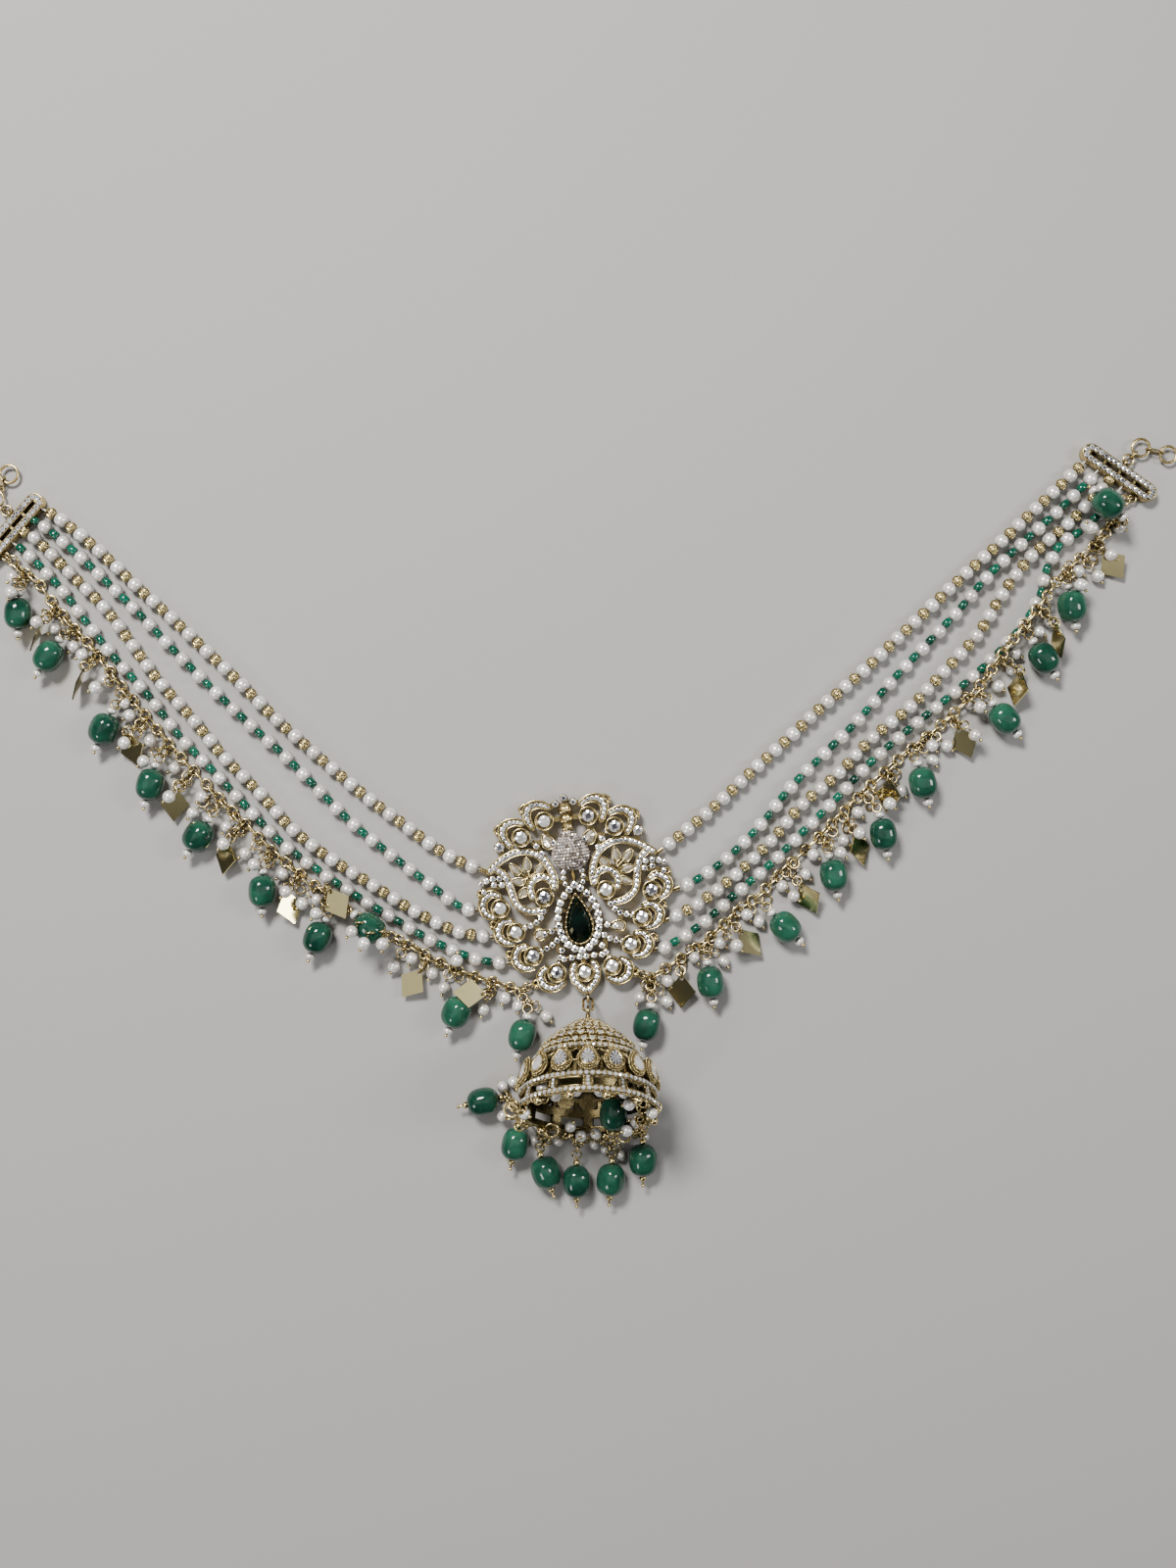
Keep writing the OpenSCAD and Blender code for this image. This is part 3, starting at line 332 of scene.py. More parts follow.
def skin_faces(rows, sides):
    """Faces over rows of points that go round an axis, and the two ends."""
    faces = []
    for i in range(rows - 1):
        for k in range(sides):
            n = (k + 1) % sides
            faces.append((i * sides + k, i * sides + n, (i + 1) * sides + n, (i + 1) * sides + k))
    return faces + [tuple(reversed(range(sides))), tuple(range((rows - 1) * sides, rows * sides))]


def lathe(name, profile, sides, rib=0.0, ribs=0, smooth=True, axis="Z"):
    """A turned shape from (radius, height) pairs; rib deepens grooves along it."""
    verts = []
    for r, h in profile:
        for k in range(sides):
            a = TURN * k / sides
            grooved = r * (1 - rib * (0.5 - 0.5 * math.cos(ribs * a)))
            verts.append((grooved * math.cos(a), grooved * math.sin(a), h))
    mesh = solid(name, verts, skin_faces(len(profile), sides), smooth)
    if axis == "X":
        mesh.transform(Matrix.Rotation(math.pi / 2, 4, "Y"))
    return mesh


def ball(name, r, finer=2):
    mesh = bpy.data.meshes.new(name)
    work = bmesh.new()
    bmesh.ops.create_icosphere(work, subdivisions=finer, radius=r)
    work.to_mesh(mesh)
    work.free()
    mesh.shade_smooth()
    return mesh


def ring_mesh(name, r, wire, stretch=0.0, around=20, sides=8):
    """A round wire ring in the XY plane, pulled longer along X by stretch."""
    verts = []
    for i in range(around):
        a = TURN * i / around
        out = Vector((math.cos(a), math.sin(a), 0))
        middle = out * r + Vector((math.copysign(stretch / 2, out.x) if abs(out.x) > 1e-6 else 0, 0, 0))
        for k in range(sides):
            b = TURN * k / sides
            verts.append(middle + out * wire * math.cos(b) + Vector((0, 0, wire * math.sin(b))))
    faces = []
    for i in range(around):
        n = (i + 1) % around
        for k in range(sides):
            m = (k + 1) % sides
            faces.append((i * sides + k, n * sides + k, n * sides + m, i * sides + m))
    return solid(name, verts, faces)


def circle(r, count, z):
    """Points spaced evenly round the Z axis."""
    return [(r * math.cos(TURN * k / count), r * math.sin(TURN * k / count), z) for k in range(count)]


def painted_glints(mesh, tones):
    """Keeps each facet's painted glint, from 0 to 1: how bright its colour is painted, standing in for the
    light it throws back.
    """
    mesh.attributes.new("facet", "FLOAT", "FACE").data.foreach_set("value", tones)
    return mesh


def brilliant(name, r, h):
    """A round cut stone: a table painted dark, eight facets round it, sixteen over the girdle and a short
    foot, with painted reflections on the facets.
    """
    table = circle(0.5 * r, 8, h)
    girdle = [(x, y, h - (0.17 + 0.06 * (k % 2)) * r) for k, (x, y, _) in enumerate(circle(r, 16, h))]
    foot = circle(0.7 * r, 8, 0)
    faces = [tuple(range(8)), tuple(reversed(range(24, 32)))]
    for k in range(8):
        n = (k + 1) % 8
        low, side, high = 8 + 2 * k, 8 + 2 * k + 1, 8 + (2 * k + 2) % 16
        faces += [(k, low, side), (k, side, n), (n, side, high)]
        faces += [(24 + k, side, low), (24 + k, 24 + n, side), (24 + n, high, side)]
    # painted reflections: the table dark, the facets bright and dark by turns
    tones = [0.12, 0.2] + [0.9, 1.0, 0.25, 0.3, 0.5, 0.3, 1.0, 0.35, 0.95, 0.3, 0.5, 0.3] * 4
    return painted_glints(solid(name, table + girdle + foot, faces, smooth=False), tones)


PIECES = {}


def template(mesh):
    """An object outside the scene that trees copy."""
    if mesh.name not in PIECES:
        PIECES[mesh.name] = bpy.data.objects.new(mesh.name, mesh)
    return PIECES[mesh.name]


def joined(name, pieces):
    """One object from several, which keep their materials."""
    with bpy.context.temp_override(active_object=pieces[0], selected_editable_objects=pieces,
                                   selected_objects=pieces):
        bpy.ops.object.join()
    pieces[0].name = name
    pieces[0].data.name = name
    return pieces[0]


def finished(piece, slot, *nodes):
    """Turns millimetres to metres and hands the piece over to the frame."""
    piece.data.transform(Matrix.Scale(MM, 4))
    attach(piece, "root")
    if nodes:
        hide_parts(*nodes)


# Finishes


def finish_tree(name):
    material = bpy.data.materials.new(name)
    material.use_nodes = True
    tree = Tree(material.node_tree)
    tree.surface = material.node_tree.nodes["Principled BSDF"]
    return material, tree


def noise_of(tree, scale, detail=3.0):
    place = tree.add("ShaderNodeTexCoord").outputs["Object"]
    return tree.add("ShaderNodeTexNoise", {
        "Vector": place, "Scale": scale, "Detail": detail, "Roughness": 0.55}).outputs[0]


def own_value(tree, name):
    """A number that the mesh keeps for each of its pieces or facets."""
    return tree.add("ShaderNodeAttribute", attribute_name=name).outputs["Fac"]


def ramp(tree, value, stops):
    node = tree.add("ShaderNodeValToRGB", {0: value})
    while len(node.color_ramp.elements) < len(stops):
        node.color_ramp.elements.new(0.5)
    for element, (at, color) in zip(node.color_ramp.elements, stops):
        element.position = at
        element.color = (*color, 1)
    return node.outputs[0]


def scaled(color, k):
    return tuple(c * k for c in color)


def with_painted_shade(tree, dark, tint, reach, power):
    """The tint with painted shade: dark where other surfaces stand within reach."""
    near = tree.add("ShaderNodeAmbientOcclusion", {"Distance": reach * MM}, samples=4).outputs["AO"]
    mix = {6: (*dark, 1), 7: tint, 0: tree.math("POWER", near, power)}
    return tree.add("ShaderNodeMix", mix, data_type="RGBA").outputs[2]


def uneven(tree, scale, strength, depth):
    """A surface with fine unevenness, some millimetres deep."""
    return tree.add("ShaderNodeBump", {
        "Height": noise_of(tree, scale), "Strength": strength, "Distance": depth * MM})


def gold_finish(name, color, rough, painted_shade, wear=0.12, reach=1.2, grainy=0.12):
    """Antique gold: painted shade in its recesses, and a little uneven in polish."""
    material, tree = finish_tree(name)
    tint = ramp(tree, noise_of(tree, 420.0), [(0.3, scaled(color, 1 - wear)), (0.62, color)])
    tree.fill(tree.surface, {
        # painted shade: the colour turns dark in recesses, where other surfaces stand within reach
        "Base Color": with_painted_shade(tree, scaled(color, 1 - painted_shade), tint, reach, 1.9),
        "Metallic": 1.0,
        "Roughness": tree.math("MULTIPLY_ADD", noise_of(tree, 1600.0), grainy, rough),
        "Normal": uneven(tree, 2600.0, grainy, 0.08),
    })
    return material


def pearl_finish(name, light, deep):
    """Pearl: soft lustre, each with its own tone, and painted shade where other surfaces stand near it."""
    material, tree = finish_tree(name)
    mottle = tree.math("MULTIPLY", noise_of(tree, 300.0), 0.5)
    tone = tree.math("MULTIPLY_ADD", own_value(tree, "tone"), 0.6, mottle)
    tint = ramp(tree, tone, [(0.15, deep), (0.85, light)])
    tree.fill(tree.surface, {
        # painted shade: the pearl turns dark where other surfaces stand within 3.5 mm
        "Base Color": with_painted_shade(tree, scaled(deep, 0.25), tint, 3.5, 1.7),
        "Metallic": 0.4, "Roughness": 0.26, "Specular IOR Level": 0.8,
        "Subsurface Weight": 0.08, "Subsurface Radius": (0.0008, 0.0006, 0.0005), "Subsurface Scale": 1.0,
        "Coat Weight": 0.6, "Coat Roughness": 0.06,
        "Normal": uneven(tree, 700.0, 0.12, 0.1),
    })
    return material


def clear_finish(name, light, deep, own=0.25):
    """Cut clear stone: facets painted bright beside dark ones as painted reflections, with a painted
    sparkle, and each stone's own tone by a share.
    """
    material, tree = finish_tree(name)
    # painted reflections: the colour follows each facet's painted glint and a fine noise sparkle
    facets = tree.math("MULTIPLY", own_value(tree, "facet"), 0.85 - own)
    painted_sparkle = tree.math("MULTIPLY_ADD", noise_of(tree, 1500.0, detail=1.0), 0.25, facets)
    tone = tree.math("MULTIPLY_ADD", own_value(tree, "tone"), own, painted_sparkle)
    tree.fill(tree.surface, {
        "Base Color": ramp(tree, tone, [(0.26, deep), (0.72, light)]),
        "Metallic": 0.5, "Roughness": 0.06, "IOR": 2.2, "Coat Weight": 0.5, "Coat Roughness": 0.02,
    })
    return material


def jade_finish(name, light, deep, clear=0.0, coat=0.25):
    """Green stone or glass: cloudy, a little light passing through, polished."""
    material, tree = finish_tree(name)
    cloud = tree.math("MULTIPLY_ADD", own_value(tree, "tone"), 0.25, noise_of(tree, 180.0, detail=4.0))
    tree.fill(tree.surface, {
        "Base Color": ramp(tree, cloud, [(0.4, deep), (0.85, light)]),
        "Roughness": 0.12, "IOR": 1.5, "Specular IOR Level": 0.35, "Transmission Weight": clear,
        "Subsurface Weight": 0.3, "Subsurface Radius": (0.0006, 0.0022, 0.0014), "Subsurface Scale": 1.0,
        "Coat Weight": coat, "Coat Roughness": 0.05,
    })
    return material


def thread_finish():
    """Twisted pale thread."""
    material, tree = finish_tree("pale_thread")
    place = tree.add("ShaderNodeTexCoord").outputs["Object"]
    twist = tree.add("ShaderNodeTexWave", {"Vector": place, "Scale": 900.0, "Distortion": 1.0})
    strands = [(0.2, (0.5, 0.46, 0.38)), (0.8, (0.8, 0.76, 0.66))]
    tree.fill(tree.surface, {"Base Color": ramp(tree, twist.outputs["Fac"], strands), "Roughness": 0.75})
    return material


GOLD = gold_finish("antique_gold", (0.7, 0.54, 0.24), 0.2, painted_shade=0.94, reach=1.6)
GOLD_BRIGHT = gold_finish("bright_gold", (0.88, 0.7, 0.33), 0.17, painted_shade=0.8, wear=0.06)
# Gold of the bell, with painted shade inside it from surfaces within 32 mm
GOLD_HOLLOW_SHADE = gold_finish("hollow_gold", (0.6, 0.47, 0.21), 0.22, painted_shade=0.9, reach=32)
# Near black gold: painted shadow in the gap round the centre stone
GOLD_PAINTED_SHADOW = gold_finish("dark_gold", (0.2, 0.15, 0.07), 0.3, painted_shade=0.9)
MIRROR = gold_finish("mirror_gold", (0.76, 0.66, 0.33), 0.15, painted_shade=0.3, wear=0.05, grainy=0.03)
PEARL = pearl_finish("ivory_pearl", (0.98, 0.96, 0.92), (0.8, 0.75, 0.69))
# Stones run from painted dark reflections to painted bright glints
CLEAR = clear_finish("clear_stone", (1.0, 0.99, 0.97), (0.05, 0.05, 0.07), own=0.4)
WARM_CLEAR = clear_finish("warm_clear_stone", (1.0, 0.93, 0.78), (0.2, 0.15, 0.08))
CHAMPAGNE = clear_finish("champagne_stone", (1.0, 0.9, 0.85), (0.07, 0.05, 0.04), own=0.6)
JADE = jade_finish("jade_bead", (0.02, 0.11, 0.065), (0.004, 0.032, 0.02))
EMERALD = jade_finish("emerald_seed", (0.004, 0.16, 0.095), (0.0, 0.035, 0.02), clear=0.3, coat=0.5)
DEEP_GREEN = jade_finish("deep_green_stone", (0.002, 0.014, 0.009), (0.0, 0.002, 0.001), coat=0.0)
THREAD = thread_finish()
FINISH_OF_SLOT = {
    "antique_gold": GOLD, "mirror_gold": MIRROR, "clear_stone": CLEAR, "dark_green_stone": DEEP_GREEN,
    "green_bead": JADE, "pearl": PEARL, "thread": THREAD,
}


def dress_nodes():
    """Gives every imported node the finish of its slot."""
    slots = {part["node"]: part["material_slot"] for part in frame["record"]["subparts"]}
    for name, node in frame["nodes"].items():
        # The bell's gold has painted shade inside it
        material = GOLD_HOLLOW_SHADE if name == "bell" else FINISH_OF_SLOT[slots[name]]
        if node.data.materials:
            for i in range(len(node.data.materials)):
                node.data.materials[i] = material
        else:
            node.data.materials.append(material)


# Strands of pearls. Routes run from the end bar to the brooch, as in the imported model


def smooth(points, steps):
    """A smooth curve through points, with a number of steps to each stretch."""
    points = [Vector(p) for p in points]
    last = len(points) - 1
    out = []
    for i in range(last):
        a, b, c, d = points[max(i - 1, 0)], points[i], points[i + 1], points[min(i + 2, last)]
        for j in range(steps):
            t = j / steps
            out.append(0.5 * (2 * b + (c - a) * t + (2 * a - 5 * b + 4 * c - d) * t * t
                              + (3 * b - a - 3 * c + d) * t * t * t))
    return out + [points[last]]


def running_length(path):
    sums = [0.0]
    for p, q in zip(path, path[1:]):
        sums.append(sums[-1] + (q - p).length)
    return sums


def at_distance(path, sums, s):
    """The point at a distance along a path whose running length is sums."""
    k = max(i for i in range(len(sums) - 1) if sums[i] <= s or i == 0)
    return path[k] + (path[k + 1] - path[k]) * ((s - sums[k]) / (sums[k + 1] - sums[k]))


# The tables' places are moved by this much in the model
MIDDLE_SHIFT = Vector((2.3, 0.8))
PEARL_D = 4.1
PEARL_PITCH = 6.8
STRAND_END_GAP = 4.2
SEED_HALF = 1.32
# Routes of the four strands of a side, and how far along them the first pearl sits
LEFT_ROUTES = [
    [(-154.7, 88.2), (-148.5, 84.5), (-137.5, 75.5), (-127.5, 66), (-117.5, 57), (-107.5, 47.5),
     (-97.5, 38), (-87.5, 28), (-75, 17), (-62.5, 6.5), (-53, -0.5), (-43.5, -7.5), (-36.5, -11.5),
     (-28.8, -14.6)],
    [(-157.5, 85), (-153, 82.5), (-143, 74), (-133.5, 65), (-124.5, 56), (-115.5, 46.5), (-106, 37),
     (-96, 27.5), (-86, 18.5), (-76.5, 9), (-67, -0.5), (-56, -9.5), (-45.5, -17.5), (-36, -24.5),
     (-29.5, -25.5)],
    [(-160.3, 81.8), (-156, 79.5), (-147, 70.5), (-136.5, 60), (-129, 50), (-121, 39), (-111.5, 28.5),
     (-103, 18), (-93, 8), (-83.5, -2.5), (-72.5, -11), (-60.5, -18.5), (-48.5, -26), (-36.5, -31.5),
     (-25.4, -33.2)],
    [(-163, 78.7), (-157.5, 74.5), (-148.5, 65), (-140.5, 54.5), (-132.5, 44.5), (-123.5, 34.5),
     (-115.5, 24), (-106, 14), (-97, 4.5), (-87.5, -5.5), (-77, -13.5), (-66, -21), (-54.5, -28),
     (-43, -34.5), (-30.5, -39.5), (-20.8, -40.4)],
]
RIGHT_ROUTES = [
    [(140.9, 101.9), (136, 97), (125.5, 87), (115.5, 77.5), (105.5, 68.5), (96, 59.5), (86, 50),
     (76, 40.5), (66, 32), (56.5, 23), (46.5, 14), (37, 5), (27, -3.5), (19.5, -9.2)],
    [(144.4, 99.5), (142, 96.5), (133, 87.5), (123, 78.5), (113, 69), (104, 58.5), (94.5, 48.5),
     (86, 39.5), (76.5, 28.5), (67, 19), (57, 9), (49, -1), (39, -11), (29.5, -17.5), (24, -19.5)],
    [(147.8, 97.1), (145, 93.5), (136.2, 84.2), (125.5, 75), (117, 64), (110, 52.5), (100.5, 42),
     (91, 32), (80, 23), (70.5, 13), (60, 4), (51.5, -6), (41, -16), (30.5, -24), (21, -28.6)],
    [(151.2, 94.7), (148.5, 91.5), (140.5, 82.5), (133.5, 78), (129.5, 71), (127, 62), (121, 53),
     (111.5, 43), (101, 34), (90.5, 25.5), (80, 16.5), (71, 7), (61.5, -2.5), (52, -12), (41.5, -21),
     (32, -29.5), (21.5, -36), (17.5, -36.5)],
]
LEFT_FIRST = (7.2, 5, 4.8, 7.2)
RIGHT_FIRST = (7, 4.4, 4.9, 9)


def strand_places(route, first):
    """Where the pearls and seeds of a strand sit. A seed leads where the first pearl leaves it room."""
    path = smooth(route, 4)
    sums = running_length(path)
    run = sums[-1] - first - STRAND_END_GAP
    pearls = round(run / PEARL_PITCH) + 1
    half = run / (pearls - 1) / 2
    leads = 1 if first - half > SEED_HALF else 0
    return leads, [at_distance(path, sums, first + i * half) for i in range(-leads, 2 * pearls - 1)]


def strand(side, number, route, first):
    """One strand: pearls with ribbed gold seeds on the odd strands and green seeds on the even ones."""
    leads, places = strand_places(route, first)
    places = [(p + MIDDLE_SHIFT).to_3d() + Vector((0, 0, PEARL_D / 2)) for p in places]
    gold_seeds = number % 2 == 1
    seed = template(gold_seed_mesh() if gold_seeds else green_seed_mesh())
    piece = made(f"pearl_strand_{side}_{number}", strand_tree, paths_mesh([places]),
                 Pearl=template(ball("strand_pearl", PEARL_D / 2, 3)), Seed_bead=seed, Places=len(places),
                 Seed_first=leads, Jitter=0.03, Seed=10 * number + len(side), Pearl_finish=PEARL,
                 Seed_finish=GOLD_BRIGHT if gold_seeds else EMERALD)
    finished(piece, "pearl", f"strand_{side}_{number}")


def gold_seed_mesh():
    """A barrel with ribs along it."""
    half = [(1.74, 0.0), (1.7, 0.4), (1.54, 0.8), (1.3, 1.08), (0.95, SEED_HALF)]
    profile = [(r, -h) for r, h in reversed(half[1:])] + half
    return lathe("gold_seed", profile, 48, rib=0.26, ribs=8, axis="X")


def green_seed_mesh():
    profile = [(0.85, -SEED_HALF), (1.2, -0.95), (1.2, 0.95), (0.85, SEED_HALF)]
    return lathe("green_seed", profile, 16, axis="X")


def all_strands():
    for number in range(4):
        strand("left", number + 1, LEFT_ROUTES[number], LEFT_FIRST[number])
        strand("right", number + 1, RIGHT_ROUTES[number], RIGHT_FIRST[number])


# Shared helpers of the fringe, the brooch and the bell


def placed(matrix, points):
    return [matrix @ Vector(p).to_3d() for p in points]


def both_sides(paths):
    """Paths of the right half and their mirror images."""
    return paths + [[(-p[0], *p[1:]) for p in path] for path in paths]


def raised(path, z):
    return [(p[0], p[1], z) for p in path]


def width_share(t, end_share):
    """Width of a band at a share t of its length, where its middle has 1."""
    return end_share + (1 - end_share) * math.sin(math.pi * t)


def band_side(path, offset, end_share=1.0):
    """A path beside another, in plan, which comes nearer at its ends where end_share is under 1."""
    path = [Vector(p) for p in path]
    last = len(path) - 1
    out = []
    for i, p in enumerate(path):
        run = (path[min(i + 1, last)] - path[max(i - 1, 0)]).normalized()
        out.append(p + offset * width_share(i / last, end_share) * Vector((-run.y, run.x)))
    return out


def wires(name, paths, r, sides=8, closed=False, material=GOLD):
    return made(name, wire_tree, paths_mesh(paths, closed), Radius=r, Sides=sides, Material=material)


def row(name, paths, piece, pitch, material, jitter=0.0, spin=0.0, closed=False):
    return made(name, along_tree, paths_mesh(paths, closed), Piece=template(piece), Pitch=pitch,
                Jitter=jitter, Spin=spin, Seed=1, Material=material)


def on_points(name, points, piece, material, aims=None, sizes=None, jitter=0.0, seed=1):
    aims = aims or [(0, 0, 1)] * len(points)
    sizes = sizes or [1.0] * len(points)
    return made(name, aimed_tree, points_mesh(points, aims, sizes), Piece=template(piece), Jitter=jitter,
                Seed=seed, Material=material)


def merged(name, meshes):
    """One mesh from several."""
    work = bmesh.new()
    for mesh in meshes:
        work.from_mesh(mesh)
    whole = bpy.data.meshes.new(name)
    work.to_mesh(whole)
    work.free()
    return whole


def loose_object(name, meshes, material):
    """One object of several meshes in one finish."""
    whole = merged(name, meshes)
    whole.materials.append(material)
    return shown(name, whole)


def on_table(mesh):
    """Keeps a mesh from reaching under the table."""
    for corner in mesh.vertices:
        corner.co.z = max(corner.co.z, 0)
    return mesh


def grain():
    return ball("grain", 0.2, 1)


def collet(r):
    """Gold cup with four claws for a round stone of radius r whose foot is at z = 0."""
    parts = [lathe("cup", [(0.75 * r, -0.5), (1.05 * r, 0.1), (1.12 * r, 0.34), (0.95 * r, 0.36)], 12)]
    for k in range(4):
        a = TURN * (k + 0.5) / 4
        claw = ball("claw", 0.22 * r + 0.06, 1)
        claw.transform(Matrix.Translation((0.98 * r * math.cos(a), 0.98 * r * math.sin(a), 0.52 * r + 0.1)))
        parts.append(claw)
    mesh = merged(f"collet_{round(100 * r)}", parts)
    mesh.shade_smooth()
    return mesh


def pave_stone(r):
    """A small round stone, seen only from above, with painted glints on its facets."""
    profile = [(r, -0.2), (r, 0.25 * r), (0.55 * r, 0.62 * r)]
    mesh = lathe(f"pave_{round(100 * r)}", profile, 8, smooth=False)
    return painted_glints(mesh, [0.4] * 8 + [1.0, 0.6, 0.9, 0.7] * 2 + [0.2, 0.75])


def set_stones(name, points, r):
    """Claw-set round stones: the gold and the stones."""
    stone = brilliant(f"brilliant_{round(100 * r)}", r, 0.85 * r + 0.1)
    return (on_points(name + "_collets", points, collet(r), GOLD),
            on_points(name + "_stones", points, stone, CLEAR, jitter=0.02))


# Small loose things: jump rings, pins and pearls that lie on what is under them

JUMP_R = 1.35
JUMP_WIRE = 0.28
JUMP_PITCH = 2 * JUMP_R - 2 * JUMP_WIRE
FRINGE_PEARL_R = 1.85
RIM_PEARL_R = 1.65
END_PEARL_R = 1.45
END_PEARL_HALF = 1.1
TIP_R = 0.52
PIN_WIRE = 0.24
OVER_ALL = 80
STAND_ON = ["bell", "brooch_frame", "end_bar_left", "end_bar_right", "strand_left_4", "strand_right_4"]


def things_below():
    """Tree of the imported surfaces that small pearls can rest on, in millimetres."""
    verts = []
    faces = []
    names = STAND_ON + [name for name in frame["nodes"] if "bead" in name or "lozenges" in name]
    for name in names:
        node = frame["nodes"][name]
        first = len(verts)
        verts += [node.matrix_world @ v.co / MM for v in node.data.vertices]
        faces += [[first + i for i in p.vertices] for p in node.data.polygons]
    return BVHTree.FromPolygons(verts, faces)


def rest_height(below, x, y, r):
    """Height of a ball's middle as it lies on the first thing under it, or on the table."""
    best = r
    for share, count in ((0, 1), (0.5, 6), (0.85, 8)):
        for k in range(count):
            a = TURN * k / count
            spot = Vector((x + share * r * math.cos(a), y + share * r * math.sin(a), OVER_ALL))
            hit = below.ray_cast(spot, Vector((0, 0, -1)))[0]
            if hit:
                best = max(best, hit.z + r * math.sqrt(1 - share * share))
    return best


class Loose:
    """Collects rings, pins and pearls, and turns them into pieces."""

    def __init__(self, below):
        self.below = below
        self.rings = []
        self.pins = []
        self.tips = []
        self.pearls = []
        self.end_pearls = []

    def ring(self, at, aim):
        """A ring, lifted where it would sink into the table."""
        at, aim = Vector(at), Vector(aim).normalized()
        at.z = max(at.z, JUMP_R * math.sqrt(max(0, 1 - aim.z ** 2)) + JUMP_WIRE)
        self.rings.append((at, aim))

    def rings_between(self, start, end, most=9):
        """A short chain of interlocked rings, each turned a quarter from the last."""
        run = end - start
        count = max(1, math.ceil(run.length / JUMP_PITCH))
        run *= min(1, most / count)
        count = min(most, count)
        along = run.normalized()
        side = along.cross(Vector((0, 0, 1)))
        side = side.normalized() if side.length > 0.1 else Vector((1, 0, 0))
        up = side.cross(along)
        for i in range(count):
            self.ring(start + run * (i + 0.5) / count, up if i % 2 == 0 else side)

    def cluster(self, at, count, spread, dice):
        """A few rings that lie over each other."""
        for i in range(count):
            a = dice.uniform(0, TURN)
            tip = dice.uniform(0.1, 0.75)
            lie = Vector((math.cos(a) * tip, math.sin(a) * tip, 1))
            lift = JUMP_WIRE + JUMP_R * tip / math.hypot(1, tip) + 0.3 * i
            off = Vector((dice.uniform(-spread, spread), dice.uniform(-spread, spread), lift))
            self.ring(at + off, lie)

    def pin(self, start, end):
        """A pin with a ball at its end."""
        self.pins.append([start, end])
        self.tips.append(end)

    def settled(self, px, py, r):
        """Where a pearl seen at a pixel comes to lie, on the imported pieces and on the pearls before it."""
        spot = photo_point(px, py, r)
        for _ in range(2):
            spot = photo_point(px, py, spot.z)
            spot.z = rest_height(self.below, spot.x, spot.y, r)
            for other, size in self.pearls + [(at, END_PEARL_R) for at, _ in self.end_pearls]:
                reach = (r + size) ** 2 - (spot.xy - other.xy).length_squared
                if reach > 0 and abs(spot.z - other.z) < r + size:
                    spot.z = max(spot.z, other.z + math.sqrt(reach))
        return spot

    def pearl_on_pin(self, at, away, r):
        """A pearl on a pin, whose eye it returns. The pin stays over the table."""
        self.pearls.append((at, r))
        ends = [at - away * (r + 0.6), at + away * (r + 0.3)]
        for end in ends:
            end.z = max(end.z, TIP_R)
        self.pin(*ends)
        return at - away * (r + 1.5)

    def pieces(self, name):
        """The metal as several objects, and the pearls as one."""
        metal = [
            on_points(name + "_rings", [p for p, _ in self.rings],
                      ring_mesh("jump_ring", JUMP_R, JUMP_WIRE, around=18, sides=7), GOLD,
                      [aim for _, aim in self.rings], jitter=0.04),
            wires(name + "_pins", self.pins, PIN_WIRE, 6),
            on_points(name + "_tips", self.tips, ball("tip", TIP_R, 2), GOLD_BRIGHT),
        ]
        pearls = [on_points(name + "_pearls", [at for at, _ in self.pearls], ball("loose_pearl", 1, 3),
                            PEARL, sizes=[r for _, r in self.pearls], jitter=0.03)]
        if self.end_pearls:
            flat = ball("end_pearl", END_PEARL_R, 3)
            flat.transform(Matrix.Diagonal((1, 1, END_PEARL_HALF / END_PEARL_R, 1)))
            pearls.append(on_points("end_pearls", [at for at, _ in self.end_pearls], flat, PEARL,
                                    [aim for _, aim in self.end_pearls], jitter=0.05))
        return metal, joined(name + "_pearls", pearls)


# Fringe chains. Routes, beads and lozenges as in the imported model, here with the chain's own height

CHAIN_LOW = 1.1
CHAIN_PITCH = 5.2
CHAIN_OVER = 5.2
LINK_R = 1.35
LINK_WIRE = 0.38
LONG_LINK_R = 1.0
LONG_LINK_WIRE = 0.3
LONG_LINK_STRETCH = 1.9
# Chains: x, y and, away from the table, height
LEFT_CHAIN = [
    (-162.4, 73.2, 1.6), (-160.3, 70.5), (-156, 68), (-153, 63.5), (-146, 55), (-139.5, 48), (-132, 38),
    (-125.5, 30), (-118.5, 21.5), (-111.5, 14), (-104.5, 6.5), (-97, -1), (-89.5, -8.5), (-81, -15.5),
    (-74, -21), (-65, -27.5), (-55.5, -33), (-49.5, -36), (-43.5, -39.5), (-34, -43.5), (-26, -46),
    (-19.4, -48, 1.6),
]
RIGHT_CHAIN = [
    (151.4, 90.2, 1.6), (150, 87), (145, 79.5), (138.5, 73.5, 1.4), (132, 67.5, 3.2), (128, 62, CHAIN_OVER),
    (124, 57, CHAIN_OVER), (117.5, 48.5, CHAIN_OVER), (112, 40.5, 4.4), (107, 34, 2.6), (97, 24.5),
    (87, 16.5), (79, 9), (71.5, 1.5), (64, -6), (56.5, -13), (49, -20.5), (41, -27), (33.5, -34), (25, -40),
    (17.4, -44.6, 1.6),
]
# Beads: x, y, height and the way that the pin points
LEFT_BEADS = [
    (-160, 58, 3.9, -91), (-151.5, 46, 3.9, -123), (-136, 25.5, 3.9, -113), (-123, 10, 3.9, -105),
    (-109.5, -4.5, 3.9, -122), (-91.5, -20, 3.9, -91), (-76, -33, 3.9, -112), (-61, -30, 6.5, -42),
    (-37, -54, 3.9, -114), (-18.5, -60.5, 3.9, -105),
]
RIGHT_BEADS = [
    (144.5, 88, 8.4, 138), (136, 60, 3.9, -80), (128, 45.5, 3.9, -57), (117, 28.5, 3.9, -50),
    (94, 10.5, 3.9, -75), (83, -4, 3.9, -79), (69, -15.5, 3.9, -79), (55.5, -30, 3.9, -46),
    (34.4, -45.5, 3.9, -81), (16.5, -57.5, 3.9, -102),
]
